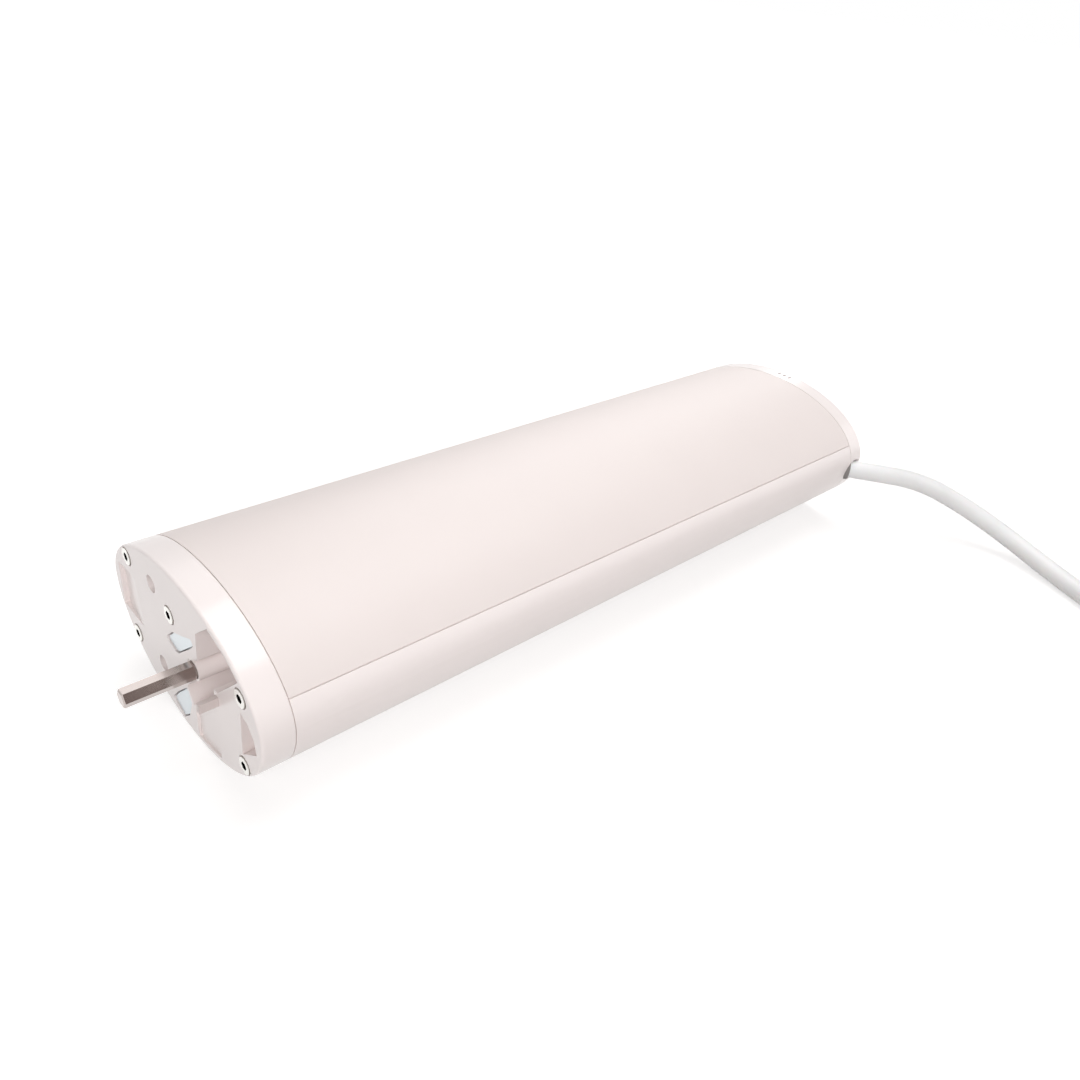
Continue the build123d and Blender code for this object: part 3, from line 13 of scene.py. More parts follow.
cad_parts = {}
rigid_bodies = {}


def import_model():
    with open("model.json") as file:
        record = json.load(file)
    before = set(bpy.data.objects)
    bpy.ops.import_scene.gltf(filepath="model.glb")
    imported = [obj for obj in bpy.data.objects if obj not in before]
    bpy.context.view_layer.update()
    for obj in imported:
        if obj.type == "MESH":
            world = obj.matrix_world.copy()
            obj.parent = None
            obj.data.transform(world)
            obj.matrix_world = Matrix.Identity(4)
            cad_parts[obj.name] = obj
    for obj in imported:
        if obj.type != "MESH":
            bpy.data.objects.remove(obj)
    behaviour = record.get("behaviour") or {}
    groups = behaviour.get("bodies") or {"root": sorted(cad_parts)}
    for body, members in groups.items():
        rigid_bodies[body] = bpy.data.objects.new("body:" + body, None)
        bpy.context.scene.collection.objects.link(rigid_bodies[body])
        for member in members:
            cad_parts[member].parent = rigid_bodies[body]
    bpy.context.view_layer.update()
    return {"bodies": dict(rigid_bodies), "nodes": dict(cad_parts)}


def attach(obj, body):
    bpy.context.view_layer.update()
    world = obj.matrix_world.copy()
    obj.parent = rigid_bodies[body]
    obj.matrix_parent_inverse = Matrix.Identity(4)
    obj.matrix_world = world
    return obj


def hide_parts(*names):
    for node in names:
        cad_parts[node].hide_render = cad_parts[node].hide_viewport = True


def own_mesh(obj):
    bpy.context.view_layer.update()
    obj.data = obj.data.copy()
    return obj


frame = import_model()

MM = 0.001
UP = Vector((0, 0, 1))
WHITE = "#ffffff"
MIX_FIRST, MIX_SECOND, MIX_RESULT = 6, 7, 2
RELIEF_SHARE = 0.2
ALIGNED = 0.9
TOUCHING = 1e-5
EVEN = (1.0, 1.0, 1.0)
LOG = logging.getLogger("curtain_motor")


# Small helpers


def linear(hex_colour: str) -> tuple[float, float, float, float]:
    """Turn an sRGB hex value into the linear colour that a shader socket takes.

    Args:
        hex_colour: six hex digits after a hash.

    Returns:
        Red, green, blue and alpha, linear.
    """
    channels = [int(hex_colour[i:i + 2], 16) / 255 for i in (1, 3, 5)]
    out = [c / 12.92 if c <= 0.04045 else ((c + 0.055) / 1.055) ** 2.4 for c in channels]
    return out[0], out[1], out[2], 1.0


def per_mm(size_mm: float) -> float:
    """Find the texture scale of a pattern.

    Args:
        size_mm: the pattern's real size in millimetres.

    Returns:
        Its scale, in features per metre.
    """
    return 1 / (size_mm * MM)


def feed(tree: bpy.types.NodeTree, node: bpy.types.Node, sockets: dict) -> None:
    """Give a node's inputs their values or links.

    Args:
        tree: the node tree.
        node: the node.
        sockets: input names or numbers, each with a value or with the output socket that feeds it.
    """
    for key, value in sockets.items():
        if isinstance(value, bpy.types.NodeSocket):
            tree.links.new(value, node.inputs[key])
        else:
            node.inputs[key].default_value = value


def add_node(tree: bpy.types.NodeTree, kind: str, sockets: Optional[dict] = None,
             **settings) -> bpy.types.Node:
    """Add a node with its settings, and its sockets' values or links.

    Args:
        tree: the node tree.
        kind: the node's type name.
        sockets: input names or numbers, each with a value or with the output socket that feeds it.
        settings: attributes of the node.

    Returns:
        The new node.
    """
    node = tree.nodes.new(kind)
    for key, value in settings.items():
        setattr(node, key, value)
    feed(tree, node, sockets or {})
    return node


def mix_colours(tree: bpy.types.NodeTree, share: bpy.types.NodeSocket, first: str,
                second: str) -> bpy.types.NodeSocket:
    """Mix two colours.

    Args:
        tree: the node tree.
        share: output socket that says how much of the second colour shows.
        first: one colour, in hex.
        second: the other colour, in hex.

    Returns:
        The output socket with the mixed colour.
    """
    sockets = {"Factor": share, MIX_FIRST: linear(first), MIX_SECOND: linear(second)}
    return add_node(tree, "ShaderNodeMix", sockets, data_type="RGBA").outputs[MIX_RESULT]


def add_noise(tree: bpy.types.NodeTree, place: bpy.types.NodeSocket, size_mm: float,
              detail: float) -> bpy.types.NodeSocket:
    """Add a noise texture.

    Args:
        tree: the node tree.
        place: coordinates to read.
        size_mm: size of its blotches in millimetres.
        detail: how many finer layers it has.

    Returns:
        The output socket with its level.
    """
    sockets = {"Vector": place, "Scale": per_mm(size_mm), "Detail": detail}
    return add_node(tree, "ShaderNodeTexNoise", sockets).outputs["Fac"]


def add_bump(tree: bpy.types.NodeTree, height: bpy.types.NodeSocket, strength: float,
             distance: float) -> bpy.types.NodeSocket:
    """Add a fine relief.

    Args:
        tree: the node tree.
        height: output socket with the relief's level.
        strength: how much it shows.
        distance: how deep it is, in metres.

    Returns:
        The output socket with the changed normal.
    """
    sockets = {"Height": height, "Strength": strength, "Distance": distance}
    return add_node(tree, "ShaderNodeBump", sockets).outputs["Normal"]


def add_greater(tree: bpy.types.NodeTree, first: bpy.types.NodeSocket,
                second: bpy.types.NodeSocket) -> bpy.types.NodeSocket:
    """Add a node that gives the greater of two levels.

    Args:
        tree: the node tree.
        first: one level.
        second: the other level.

    Returns:
        The output socket with the greater level.
    """
    return add_node(tree, "ShaderNodeMath", {0: first, 1: second}, operation="MAXIMUM").outputs[0]


def deselect_all() -> None:
    """Leave nothing selected, in object mode."""
    if bpy.context.mode != "OBJECT":
        bpy.ops.object.mode_set(mode="OBJECT")
    bpy.ops.object.select_all(action="DESELECT")


def pick(piece: bpy.types.Object) -> None:
    """Make one piece the only one selected, and active.

    Args:
        piece: the piece.
    """
    deselect_all()
    piece.select_set(True)
    bpy.context.view_layer.objects.active = piece


def apply_place() -> None:
    """Apply the place, turn and scale of what is selected."""
    bpy.ops.object.transform_apply(location=True, rotation=True, scale=True)


def primitive(adder: Callable, name: str, **sizes) -> bpy.types.Object:
    """Add a primitive with nothing else selected, and name it.

    Args:
        adder: the operator that adds it.
        name: the piece's name.
        sizes: the operator's own arguments, in metres.

    Returns:
        The new object, active and selected.
    """
    deselect_all()
    adder(**sizes)
    piece = bpy.context.active_object
    piece.name = name
    piece.data.name = name
    return piece


def apply_all(piece: bpy.types.Object) -> None:
    """Apply the piece's modifiers and its place, so that its object sits at the origin.

    Args:
        piece: the piece.
    """
    pick(piece)
    for modifier in list(piece.modifiers):
        bpy.ops.object.modifier_apply(modifier=modifier.name)
    apply_place()


def edit(piece: bpy.types.Object) -> None:
    """Enter edit mode on one piece.

    Args:
        piece: the piece.
    """
    pick(piece)
    bpy.ops.object.mode_set(mode="EDIT")


def leave_edit() -> None:
    """Go back to object mode."""
    bpy.ops.object.mode_set(mode="OBJECT")


def choose(kind: str, test: Callable[[Vector, Vector], bool]) -> int:
    """In edit mode, select the edges or faces of the active piece that pass a test.

    Args:
        kind: EDGE or FACE.
        test: takes the middle, and the edge's direction or the face's normal.

    Returns:
        How many are selected.
    """
    bpy.ops.mesh.select_mode(type=kind)
    bpy.ops.mesh.select_all(action="DESELECT")
    mesh = bmesh.from_edit_mesh(bpy.context.active_object.data)
    mesh.normal_update()
    count = 0
    for part in mesh.edges if kind == "EDGE" else mesh.faces:
        if kind == "EDGE":
            first, second = part.verts
            found = test((first.co + second.co) / 2, (second.co - first.co).normalized())
        else:
            found = test(part.calc_center_median(), part.normal)
        part.select_set(found)
        count += found
    bmesh.update_edit_mesh(bpy.context.active_object.data)
    return count


def smooth(piece: bpy.types.Object, degrees: float = 35.0) -> None:
    """Shade the piece smooth, with its sharper corners kept.

    Args:
        piece: the piece.
        degrees: corners above this angle stay sharp.
    """
    pick(piece)
    bpy.ops.object.shade_smooth_by_angle(angle=math.radians(degrees))


def standing(way: Vector, origin: Vector) -> Matrix:
    """Find the place of a piece that points one way with its top up.

    Args:
        way: where its X axis points, level.
        origin: where its origin lies, in millimetres.

    Returns:
        Its world matrix, in metres.
    """
    turn = Matrix((way, UP.cross(way), UP)).transposed().to_4x4()
    return Matrix.Translation(origin * MM) @ turn


def turned(name: str, profile: Sequence[tuple[float, float]], sides: int) -> bpy.types.Object:
    """Turn a profile round the X axis: a ring of edges, extruded and drawn in station by station.

    Args:
        name: the piece's name.
        profile: stations along X and the radius at each, in millimetres.
        sides: edges round the piece.

    Returns:
        The closed piece.
    """
    x, r = profile[0]
    piece = primitive(
        bpy.ops.mesh.primitive_circle_add, name, vertices=sides, radius=r * MM, fill_type="NGON",
        rotation=(0, math.pi / 2, 0), location=(x * MM, 0, 0),
    )
    apply_place()
    edit(piece)
    bpy.ops.mesh.select_all(action="SELECT")
    for next_x, next_r in profile[1:]:
        step = ((next_x - x) * MM, 0, 0)
        grow = next_r / r
        bpy.ops.mesh.extrude_region_move(TRANSFORM_OT_translate={"value": step})
        bpy.ops.transform.resize(value=(1, grow, grow), center_override=(next_x * MM, 0, 0))
        x, r = next_x, next_r
    bpy.ops.mesh.select_all(action="SELECT")
    bpy.ops.mesh.normals_make_consistent(inside=False)
    leave_edit()
    return piece


# Finishes


def start_material(name: str) -> tuple[bpy.types.Material, bpy.types.NodeTree, bpy.types.Node,
                                       bpy.types.NodeSocket]:
    """Start a material with its shader and its place socket.

    Args:
        name: the finish's name.

    Returns:
        The material, its tree, its shader node and the Object coordinates to read.
    """
    material = bpy.data.materials.new(name)
    material.use_nodes = True
    tree = material.node_tree
    shader = tree.nodes["Principled BSDF"]
    place = add_node(tree, "ShaderNodeTexCoord").outputs["Object"]
    return material, tree, shader, place


@dataclass(frozen=True)
class MouldedPlastic:
    """Injection-moulded plastic: even colour, faint flow clouds, a fine grain and a soft gloss.

    Attributes:
        name: the finish's name.
        colour: its colour.
        cloud: colour of the flow clouds.
        roughness: how dull its gloss is.
        grain_mm: size of the grain.
        grain_depth: how much the grain shows.
        coat: weight of the clear gloss on top.
        coat_roughness: how dull that gloss is.
        cloud_mm: size of the clouds.
        cloud_detail: finer layers of the clouds.
        grain_detail: finer layers of the grain.
    """

    name: str
    colour: str
    cloud: str
    roughness: float
    grain_mm: float = 0.45
    grain_depth: float = 0.05
    coat: float = 0.0
    coat_roughness: float = 0.12
    cloud_mm: float = 28.0
    cloud_detail: float = 2.0
    grain_detail: float = 3.0

    def build(self) -> bpy.types.Material:
        """Make the material.

        Returns:
            The material.
        """
        material, tree, shader, place = start_material(self.name)
        clouds = add_noise(tree, place, self.cloud_mm, self.cloud_detail)
        grain = add_noise(tree, place, self.grain_mm, self.grain_detail)
        depth = self.grain_mm * MM * RELIEF_SHARE
        feed(tree, shader, {
            "Base Color": mix_colours(tree, clouds, self.colour, self.cloud),
            "Normal": add_bump(tree, grain, self.grain_depth, depth),
            "Roughness": self.roughness,
            "Coat Weight": self.coat,
            "Coat Roughness": self.coat_roughness,
        })
        return material


@dataclass(frozen=True)
class Metal:
    """Drawn, turned or plated metal, with fine lines or spots that spread its gloss.

    Attributes:
        name: the finish's name.
        colour: its colour.
        worn: its colour in the lines.
        roughness: how dull its gloss is on average.
        line_mm: width of the lines.
        stretch: scale of the lines along each axis; a low one draws them out.
        depth: how much the lines show as a relief.
        line_detail: finer layers of the lines.
        gloss_spread: least and greatest dullness, as shares of the roughness.
    """

    name: str
    colour: str
    worn: str
    roughness: float
    line_mm: float = 0.12
    stretch: tuple[float, float, float] = (0.04, 1.0, 1.0)
    depth: float = 0.06
    line_detail: float = 4.0
    gloss_spread: tuple[float, float] = (0.75, 1.3)

    def build(self) -> bpy.types.Material:
        """Make the material.

        Returns:
            The material.
        """
        material, tree, shader, place = start_material(self.name)
        drawn = add_node(tree, "ShaderNodeMapping", {"Vector": place, "Scale": self.stretch})
        lines = add_noise(tree, drawn.outputs["Vector"], self.line_mm, self.line_detail)
        low, high = self.gloss_spread
        gloss = add_node(tree, "ShaderNodeMapRange", {
            "Value": lines, "To Min": self.roughness * low, "To Max": self.roughness * high,
        })
        feed(tree, shader, {
            "Metallic": 1.0,
            "Base Color": mix_colours(tree, lines, self.colour, self.worn),
            "Roughness": gloss.outputs["Result"],
            "Normal": add_bump(tree, lines, self.depth, self.line_mm * MM * RELIEF_SHARE),
        })
        return material


@dataclass(frozen=True)
class SoftJacket:
    """Extruded PVC cord jacket: smooth and slightly waxy, with faint waves and handling marks.

    Attributes:
        name: the finish's name.
        colour: its colour.
        mark: colour of the handling marks.
        roughness: how dull its gloss is.
        mark_mm: size of the marks.
        mark_detail: finer layers of the marks.
        mark_range: levels of the noise between which a mark fades in.
        wave_mm: size of the waves.
        wave_detail: finer layers of the waves.
        wave_strength: how much the waves show.
        wave_depth_mm: how deep they are.
        glow: share of the light that goes in and comes out again.
        glow_mm: how far it goes in.
    """

    name: str
    colour: str
    mark: str
    roughness: float
    mark_mm: float = 9.0
    mark_detail: float = 3.0
    mark_range: tuple[float, float] = (0.45, 0.8)
    wave_mm: float = 0.8
    wave_detail: float = 2.0
    wave_strength: float = 0.04
    wave_depth_mm: float = 0.1
    glow: float = 0.06
    glow_mm: float = 2.0

    def build(self) -> bpy.types.Material:
        """Make the material.

        Returns:
            The material.
        """
        material, tree, shader, place = start_material(self.name)
        low, high = self.mark_range
        marks = add_node(tree, "ShaderNodeMapRange", {
            "Value": add_noise(tree, place, self.mark_mm, self.mark_detail),
            "From Min": low, "From Max": high,
        })
        waves = add_noise(tree, place, self.wave_mm, self.wave_detail)
        feed(tree, shader, {
            "Base Color": mix_colours(tree, marks.outputs["Result"], self.colour, self.mark),
            "Normal": add_bump(tree, waves, self.wave_strength, self.wave_depth_mm * MM),
            "Roughness": self.roughness,
            "Subsurface Weight": self.glow,
            "Subsurface Scale": self.glow_mm * MM,
        })
        return material


@dataclass(frozen=True)
class CircuitBoard:
    """Epoxy glass board under green solder mask: tracks show as lighter, slightly raised lines.

    Attributes:
        name: the finish's name.
        mask: colour of the solder mask.
        track: colour over the tracks.
        pitch_mm: size of the pattern.
        track_width: width of a track, as a share of the pattern.
        relief: how much the tracks stand out.
        relief_mm: how high they are.
        roughness: how dull the mask's gloss is.
    """

    name: str
    mask: str
    track: str
    pitch_mm: float = 12.0
    track_width: float = 0.03
    relief: float = 0.3
    relief_mm: float = 0.05
    roughness: float = 0.3

    def build(self) -> bpy.types.Material:
        """Make the material.

        Returns:
            The material.
        """
        material, tree, shader, place = start_material(self.name)
        tracks = add_node(tree, "ShaderNodeTexBrick", {
            "Vector": place, "Color1": linear(self.mask), "Color2": linear(self.mask),
            "Mortar": linear(self.track), "Scale": per_mm(self.pitch_mm),
            "Mortar Size": self.track_width,
        })
        feed(tree, shader, {
            "Base Color": tracks.outputs["Color"],
            "Normal": add_bump(tree, tracks.outputs["Fac"], self.relief, self.relief_mm * MM),
            "Roughness": self.roughness,
        })
        return material


@dataclass(frozen=True)
class Winding:
    """Enamelled copper wire laid side by side: fine bright ridges, with painted shade in the gaps
    between them.

    Attributes:
        name: the finish's name.
        colour: colour of the wire.
        painted_gap_shade: darker colour between the turns, painted shade in the troughs.
        wire_mm: thickness of the wire, twice the ridges' depth.
        pattern_mm: the ridges' texture unit.
        wander: how much the ridges waver.
        relief: how much they stand out.
        metallic: share of the surface that is bare metal.
        roughness: how dull its gloss is.
    """

    name: str
    colour: str
    painted_gap_shade: str
    wire_mm: float
    pattern_mm: float = 5.0
    wander: float = 0.6
    relief: float = 0.4
    metallic: float = 0.8
    roughness: float = 0.3

    def build(self) -> bpy.types.Material:
        """Make the material.

        Returns:
            The material.
        """
        material, tree, shader, place = start_material(self.name)
        ridges = add_node(tree, "ShaderNodeTexWave", {
            "Vector": place, "Scale": per_mm(self.pattern_mm), "Distortion": self.wander,
        }, bands_direction="Y").outputs["Fac"]
        feed(tree, shader, {
            "Metallic": self.metallic,
            "Roughness": self.roughness,
            # painted shade: the gap colour darkens the troughs between the turns
            "Base Color": mix_colours(tree, ridges, self.painted_gap_shade, self.colour),
            "Normal": add_bump(tree, ridges, self.relief, self.wire_mm * MM / 2),
        })
        return material


class Finish(Enum):
    """The finishes that the object is made of."""

    COVER = MouldedPlastic("abs_satin_white", "#eee4e1", "#ebe1de", 0.5)
    SHELL = MouldedPlastic("abs_gloss_white", "#faf1ef", "#f7eeec", 0.4, grain_depth=0.02,
                           coat=0.25)
    CAP = MouldedPlastic("abs_fine_white", "#f8efed", "#f5ecea", 0.28, coat=0.4)
    # painted shade: the caps' white plastic made darker, so that the peg looks shaded on every
    # face
    PEG = MouldedPlastic("peg_cap_white_painted_shade", "#d9cdca", "#d5c9c6", 0.34)
    DARK = MouldedPlastic("nylon_black", "#1c1c1e", "#242427", 0.45, 0.6, 0.1)
    GEAR = MouldedPlastic("acetal_natural", "#ece8dc", "#e2ddd0", 0.3)
    LENS = MouldedPlastic("acrylic_frosted", "#eef2f4", "#e4eaee", 0.15)
    SHAFT = Metal("steel_polished", "#c6bcb8", "#b4aaa6", 0.16)
    SCREW = Metal("steel_zinc_plated", "#f2f2ee", "#e6e6e1", 0.2, 0.15, EVEN)
    # painted shade: near-black colour that stands in for the shade deep inside the screws' sockets
    SOCKET = Metal("painted_socket_shade", "#1b1b1c", "#131314", 0.55)
    PLATE = Metal("steel_nickel_plated", "#dde4e8", "#d2dade", 0.32)
    CAST = Metal("zinc_die_cast", "#a8aaad", "#97999c", 0.45, 0.5, EVEN, 0.15)
    BRONZE = Metal("bronze_sintered", "#b98d5a", "#a67a48", 0.38, 0.3, EVEN, 0.2)
    MAGNET = Metal("ferrite_sintered", "#4a4a4e", "#3c3c40", 0.55, 0.4, EVEN, 0.2)
    BRASS = Metal("brass_nickel_flash", "#d8c690", "#c9b57c", 0.24)
    RUBBER = MouldedPlastic("rubber_black", "#202022", "#2a2a2c", 0.7, 0.5, 0.15)
    GROMMET = MouldedPlastic("rubber_grey", "#8c8886", "#7f7b79", 0.6, 0.5, 0.1)
    JACKET = SoftJacket("pvc_white_smooth", "#f4f4f4", "#efefef", 0.4)
    BOARD = CircuitBoard("board_solder_mask", "#1c5a35", "#2f7a4a")
    # the second colour is painted shade between the wire's turns
    COPPER = Winding("copper_enamelled", "#c98652", "#6a3a1e", 0.5)


DRESSED = {
    Finish.COVER: ["upper_cover"],
    Finish.SHELL: ["lower_shell"],
    Finish.CAP: ["drive_end_cap", "tail_cap", "setting_button", "shaft_bush"],
    Finish.PEG: ["detent_peg"],
    Finish.LENS: ["light_pipe"],
    Finish.SHAFT: ["output_shaft", "motor_shaft", "detent_spring"],
    Finish.SCREW: ["drive_cap_screws", "tail_cap_screws", "gear_unit_screws", "board_screws",
                   "clamp_screws"],
    Finish.PLATE: ["catch_plate", "motor_mount_plate", "motor_can", "radio_module",
                   "output_carrier", "output_planet_pins", "output_sun", "intermediate_carrier",
                   "intermediate_planet_pins"],
    Finish.CAST: ["gearbox_front_plate", "ring_gear"],
    Finish.BRONZE: ["output_bush", "input_sun", "motor_bushes"],
    Finish.GEAR: ["output_planet_1", "output_planet_2", "output_planet_3", "input_planet_1",
                  "input_planet_2", "input_planet_3"],
    Finish.MAGNET: ["motor_magnets", "rotor_core", "encoder_magnet", "transformer"],
    Finish.COPPER: ["rotor_windings", "commutator"],
    Finish.DARK: ["motor_end_bell", "brushes", "board_spacers", "bulk_capacitor", "sounder",
                  "button_switch", "cable_clamp"],
    Finish.BOARD: ["hall_board", "power_board", "control_board"],
    Finish.RUBBER: ["front_damper", "rear_damper"],
    Finish.GROMMET: ["cable_grommet"],
    Finish.BRASS: ["plug_pins"],
}


@dataclass(frozen=True)
class Sockets:
    """Sockets of one group of screws, in millimetres: the faces inside them get painted shade.

    Attributes:
        node: the screws' node.
        face_x: station of their heads' faces.
        way: 1 where the way in is along X, -1 where it is against X.
        spots: Y and Z of their middles.
        reach: faces nearer to a middle than this may lie in its socket.
        skin: depth at which a socket's inside starts.
        depth: depth at which it ends.
    """

    node: str
    face_x: float
    way: int
    spots: tuple = ((34.4, 45.5), (35.6, 15.1), (-37.9, 41.2), (-36.2, 15.0), (5.4, 41.3))
    reach: float = 1.6
    skin: float = 0.05
    depth: float = 1.3

    def holds(self, point: Vector) -> bool:
        """Say whether a point lies inside one of the sockets.

        Args:
            point: the point, in metres.

        Returns:
            Whether it does.
        """
        depth = (point.x / MM - self.face_x) * self.way
        near = any(math.hypot(point.y / MM - y, point.z / MM - z) < self.reach
                   for y, z in self.spots)
        return near and self.skin < depth < self.depth


# the faces inside these sockets get the painted socket shade
SOCKETS = [Sockets("drive_cap_screws", -140.35, 1), Sockets("tail_cap_screws", 160.25, -1)]


class Wardrobe:
    """Makes each finish once and hands it out."""

    def __init__(self) -> None:
        """Start with no material made."""
        self.made: dict[Finish, bpy.types.Material] = {}

    def get(self, finish: Finish) -> bpy.types.Material:
        """Hand out a finish, made on first use.

        Args:
            finish: the finish.

        Returns:
            Its material.
        """
        if finish not in self.made:
            self.made[finish] = finish.value.build()
        return self.made[finish]

    def dress(self, piece: bpy.types.Object, finish: Finish) -> None:
        """Give a piece one finish in its only slot.

        Args:
            piece: the piece.
            finish: its finish.
        """
        piece.data.materials.clear()
        piece.data.materials.append(self.get(finish))

    def paint_shade_in_sockets(self, piece: bpy.types.Object, sockets: Sockets) -> None:
        """Give the faces inside the screws' sockets a near-black colour: painted shade for their
        deep recesses.

        Args:
            piece: the screws.
            sockets: where their sockets are.
        """
        piece.data.materials.append(self.get(Finish.SOCKET))
        for face in piece.data.polygons:
            if sockets.holds(face.center):
                face.material_index = 1

    def dress_frame(self, nodes: dict[str, bpy.types.Object]) -> None:
        """Give each CAD node listed in DRESSED its finish.

        Args:
            nodes: the frame's nodes by name.
        """
        for finish, names in DRESSED.items():
            for name in names:
                self.dress(nodes[name], finish)
                LOG.info("%s is dressed as %s", name, finish.value.name)
        for sockets in SOCKETS:
            self.paint_shade_in_sockets(nodes[sockets.node], sockets)


# The lead


class HalfTurn(NamedTuple):
    """One half turn of the coil, in millimetres: its ends and centre, and the way it sets off."""

    start: Vector
    centre: Vector
    end: Vector
    way: Vector


@dataclass
class Lead:
    """White mains lead: out of the tail end's side, down to the floor and into a neat coil.

    All sizes are in millimetres, and the route is the same as in the part's source.

    Attributes:
        cord_r: the lead's radius.
        exit_point: where it leaves the housing.
        exit_way: the way in which it leaves.
        inner: how far it reaches into the housing.
        rest: the points that it lies through after the exit.
        last_run: how far the route goes on after those, to the coil.
        last_aside: how far it turns aside on that run.
        step: how far apart the coil's windings lie.
        layer: how far the upper layer lies above the lower one.
        inner_r: radius of the innermost winding.
        turns_in: half turns that wind inwards, in the lower layer.
        turns_out: half turns that wind outwards, in the upper layer.
        end: length of the straight end.
        end_stations: places of the spline's points on that end, as shares of it.
        points_per_half: spline points on each half turn.
        resolution: steps between two spline points.
        roundness: steps in a quarter of the lead's section.
        length_mm: the whole lead's length; not used.
    """

    cord_r: float = 4.1
    exit_point: Vector = field(default_factory=lambda: Vector((154.35, -47.0, 28.9)))
    exit_way: Vector = field(default_factory=lambda: Vector((0.61, -0.7924, 0.0)).normalized())
    inner: float = 15.0
    rest: tuple = (
        (160.55, -55.1, 28.90), (180.55, -70.0, 25.40), (193.55, -87.5, 17.34),
        (200.95, -109.3, 8.59), (194.05, -136.0, 4.61), (182.15, -163.6, 4.95),
    )
    last_run: float = 24.0
    last_aside: float = 2.0
    step: float = 8.7
    layer: float = 8.7
    inner_r: float = 33.0
    turns_in: int = 5
    turns_out: int = 6
    end: float = 36.0
    end_stations: tuple = (0.25, 0.6, 1.0)
    points_per_half: int = 6
    resolution: int = 14
    roundness: int = 5
    length_mm: float = 1960.0

    def route(self) -> list[Vector]:
        """Find the lead's points from inside the housing to the coil.

        Returns:
            The points.
        """
        points = [self.exit_point - self.exit_way * self.inner]
        points += [Vector(point) for point in self.rest]
        way = (points[-1] - points[-2]) * Vector((1, 1, 0))
        way.normalize()
        aside = Vector((way.y, -way.x, 0)) * self.last_aside
        return points + [points[-1] + aside + way * self.last_run]

    def half_turns(self) -> list[HalfTurn]:
        """Find the coil's half turns, from the route's end inwards and then outwards.

        Returns:
            The half turns.
        """
        points = self.route()
        way = (points[-1] - points[-2]).normalized()
        left = Vector((-way.y, way.x, 0))
        radius = self.inner_r + self.turns_in * self.step / 2
        start = points[-1] + way * 2 * self.cord_r
        found = []
        side = 1
        for index in range(self.turns_in + 1 + self.turns_out):
            rise = Vector((0, 0, self.layer if index == self.turns_in else 0))
            end = start + left * (2 * radius * side) + rise
            found.append(HalfTurn(start, (start + end) / 2, end, way * side))
            start = end
            side = -side
            radius += self.step / 2 if index >= self.turns_in else -self.step / 2
        return found

    def points(self) -> list[Vector]:
        """Find the spline's points of the whole lead: the route, the coil and the straight end.

        A quadratic spline passes inside its points, so those on the turns lie a little outside.

        Returns:
            The points.
        """
        turns = self.half_turns()
        spread = 1 / (0.75 + 0.25 * math.cos(math.pi / self.points_per_half))
        found = self.route()
        for turn in turns:
            across = turn.start - turn.centre
            along = turn.way * across.length
            for index in range(self.points_per_half):
                angle = math.pi * (index + 0.5) / self.points_per_half
                arm = across * math.cos(angle) + along * math.sin(angle)
                found.append(turn.centre + arm * spread)
        last = turns[-1]
        return found + [last.end - last.way * self.end * part for part in self.end_stations]

    def plug_place(self) -> Matrix:
        """Find the place of the plug at the straight end.

        Returns:
            Its world matrix: X out of the plug, Z up.
        """
        last = self.half_turns()[-1]
        way = last.way * -1
        return standing(way, last.end + way * self.end)

    def build(self, wardrobe: Wardrobe, with_pieces: list[bpy.types.Object]) -> bpy.types.Object:
        """Args:
            wardrobe: the finishes.
            with_pieces: the pieces on the lead; not used.

        Returns:
            The lead.
        """
        curve = bpy.data.curves.new("lead", "CURVE")
        curve.dimensions = "3D"
        curve.resolution_u = self.resolution
        curve.bevel_depth = self.cord_r * MM
        curve.bevel_resolution = self.roundness
        curve.use_fill_caps = True
        spline = curve.splines.new("NURBS")
        points = self.points()
        spline.points.add(len(points) - 1)
        for place, point in zip(points, spline.points):
            point.co = (*(place * MM), 1.0)
        spline.order_u = 3
        spline.use_endpoint_u = True
        lead = bpy.data.objects.new("lead", curve)
        bpy.context.scene.collection.objects.link(lead)
        wardrobe.dress(lead, Finish.JACKET)
        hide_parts("power_cable", "cable_coil")
        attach(lead, "housing")
        LOG.info("lead: %d points", len(points))
        return lead


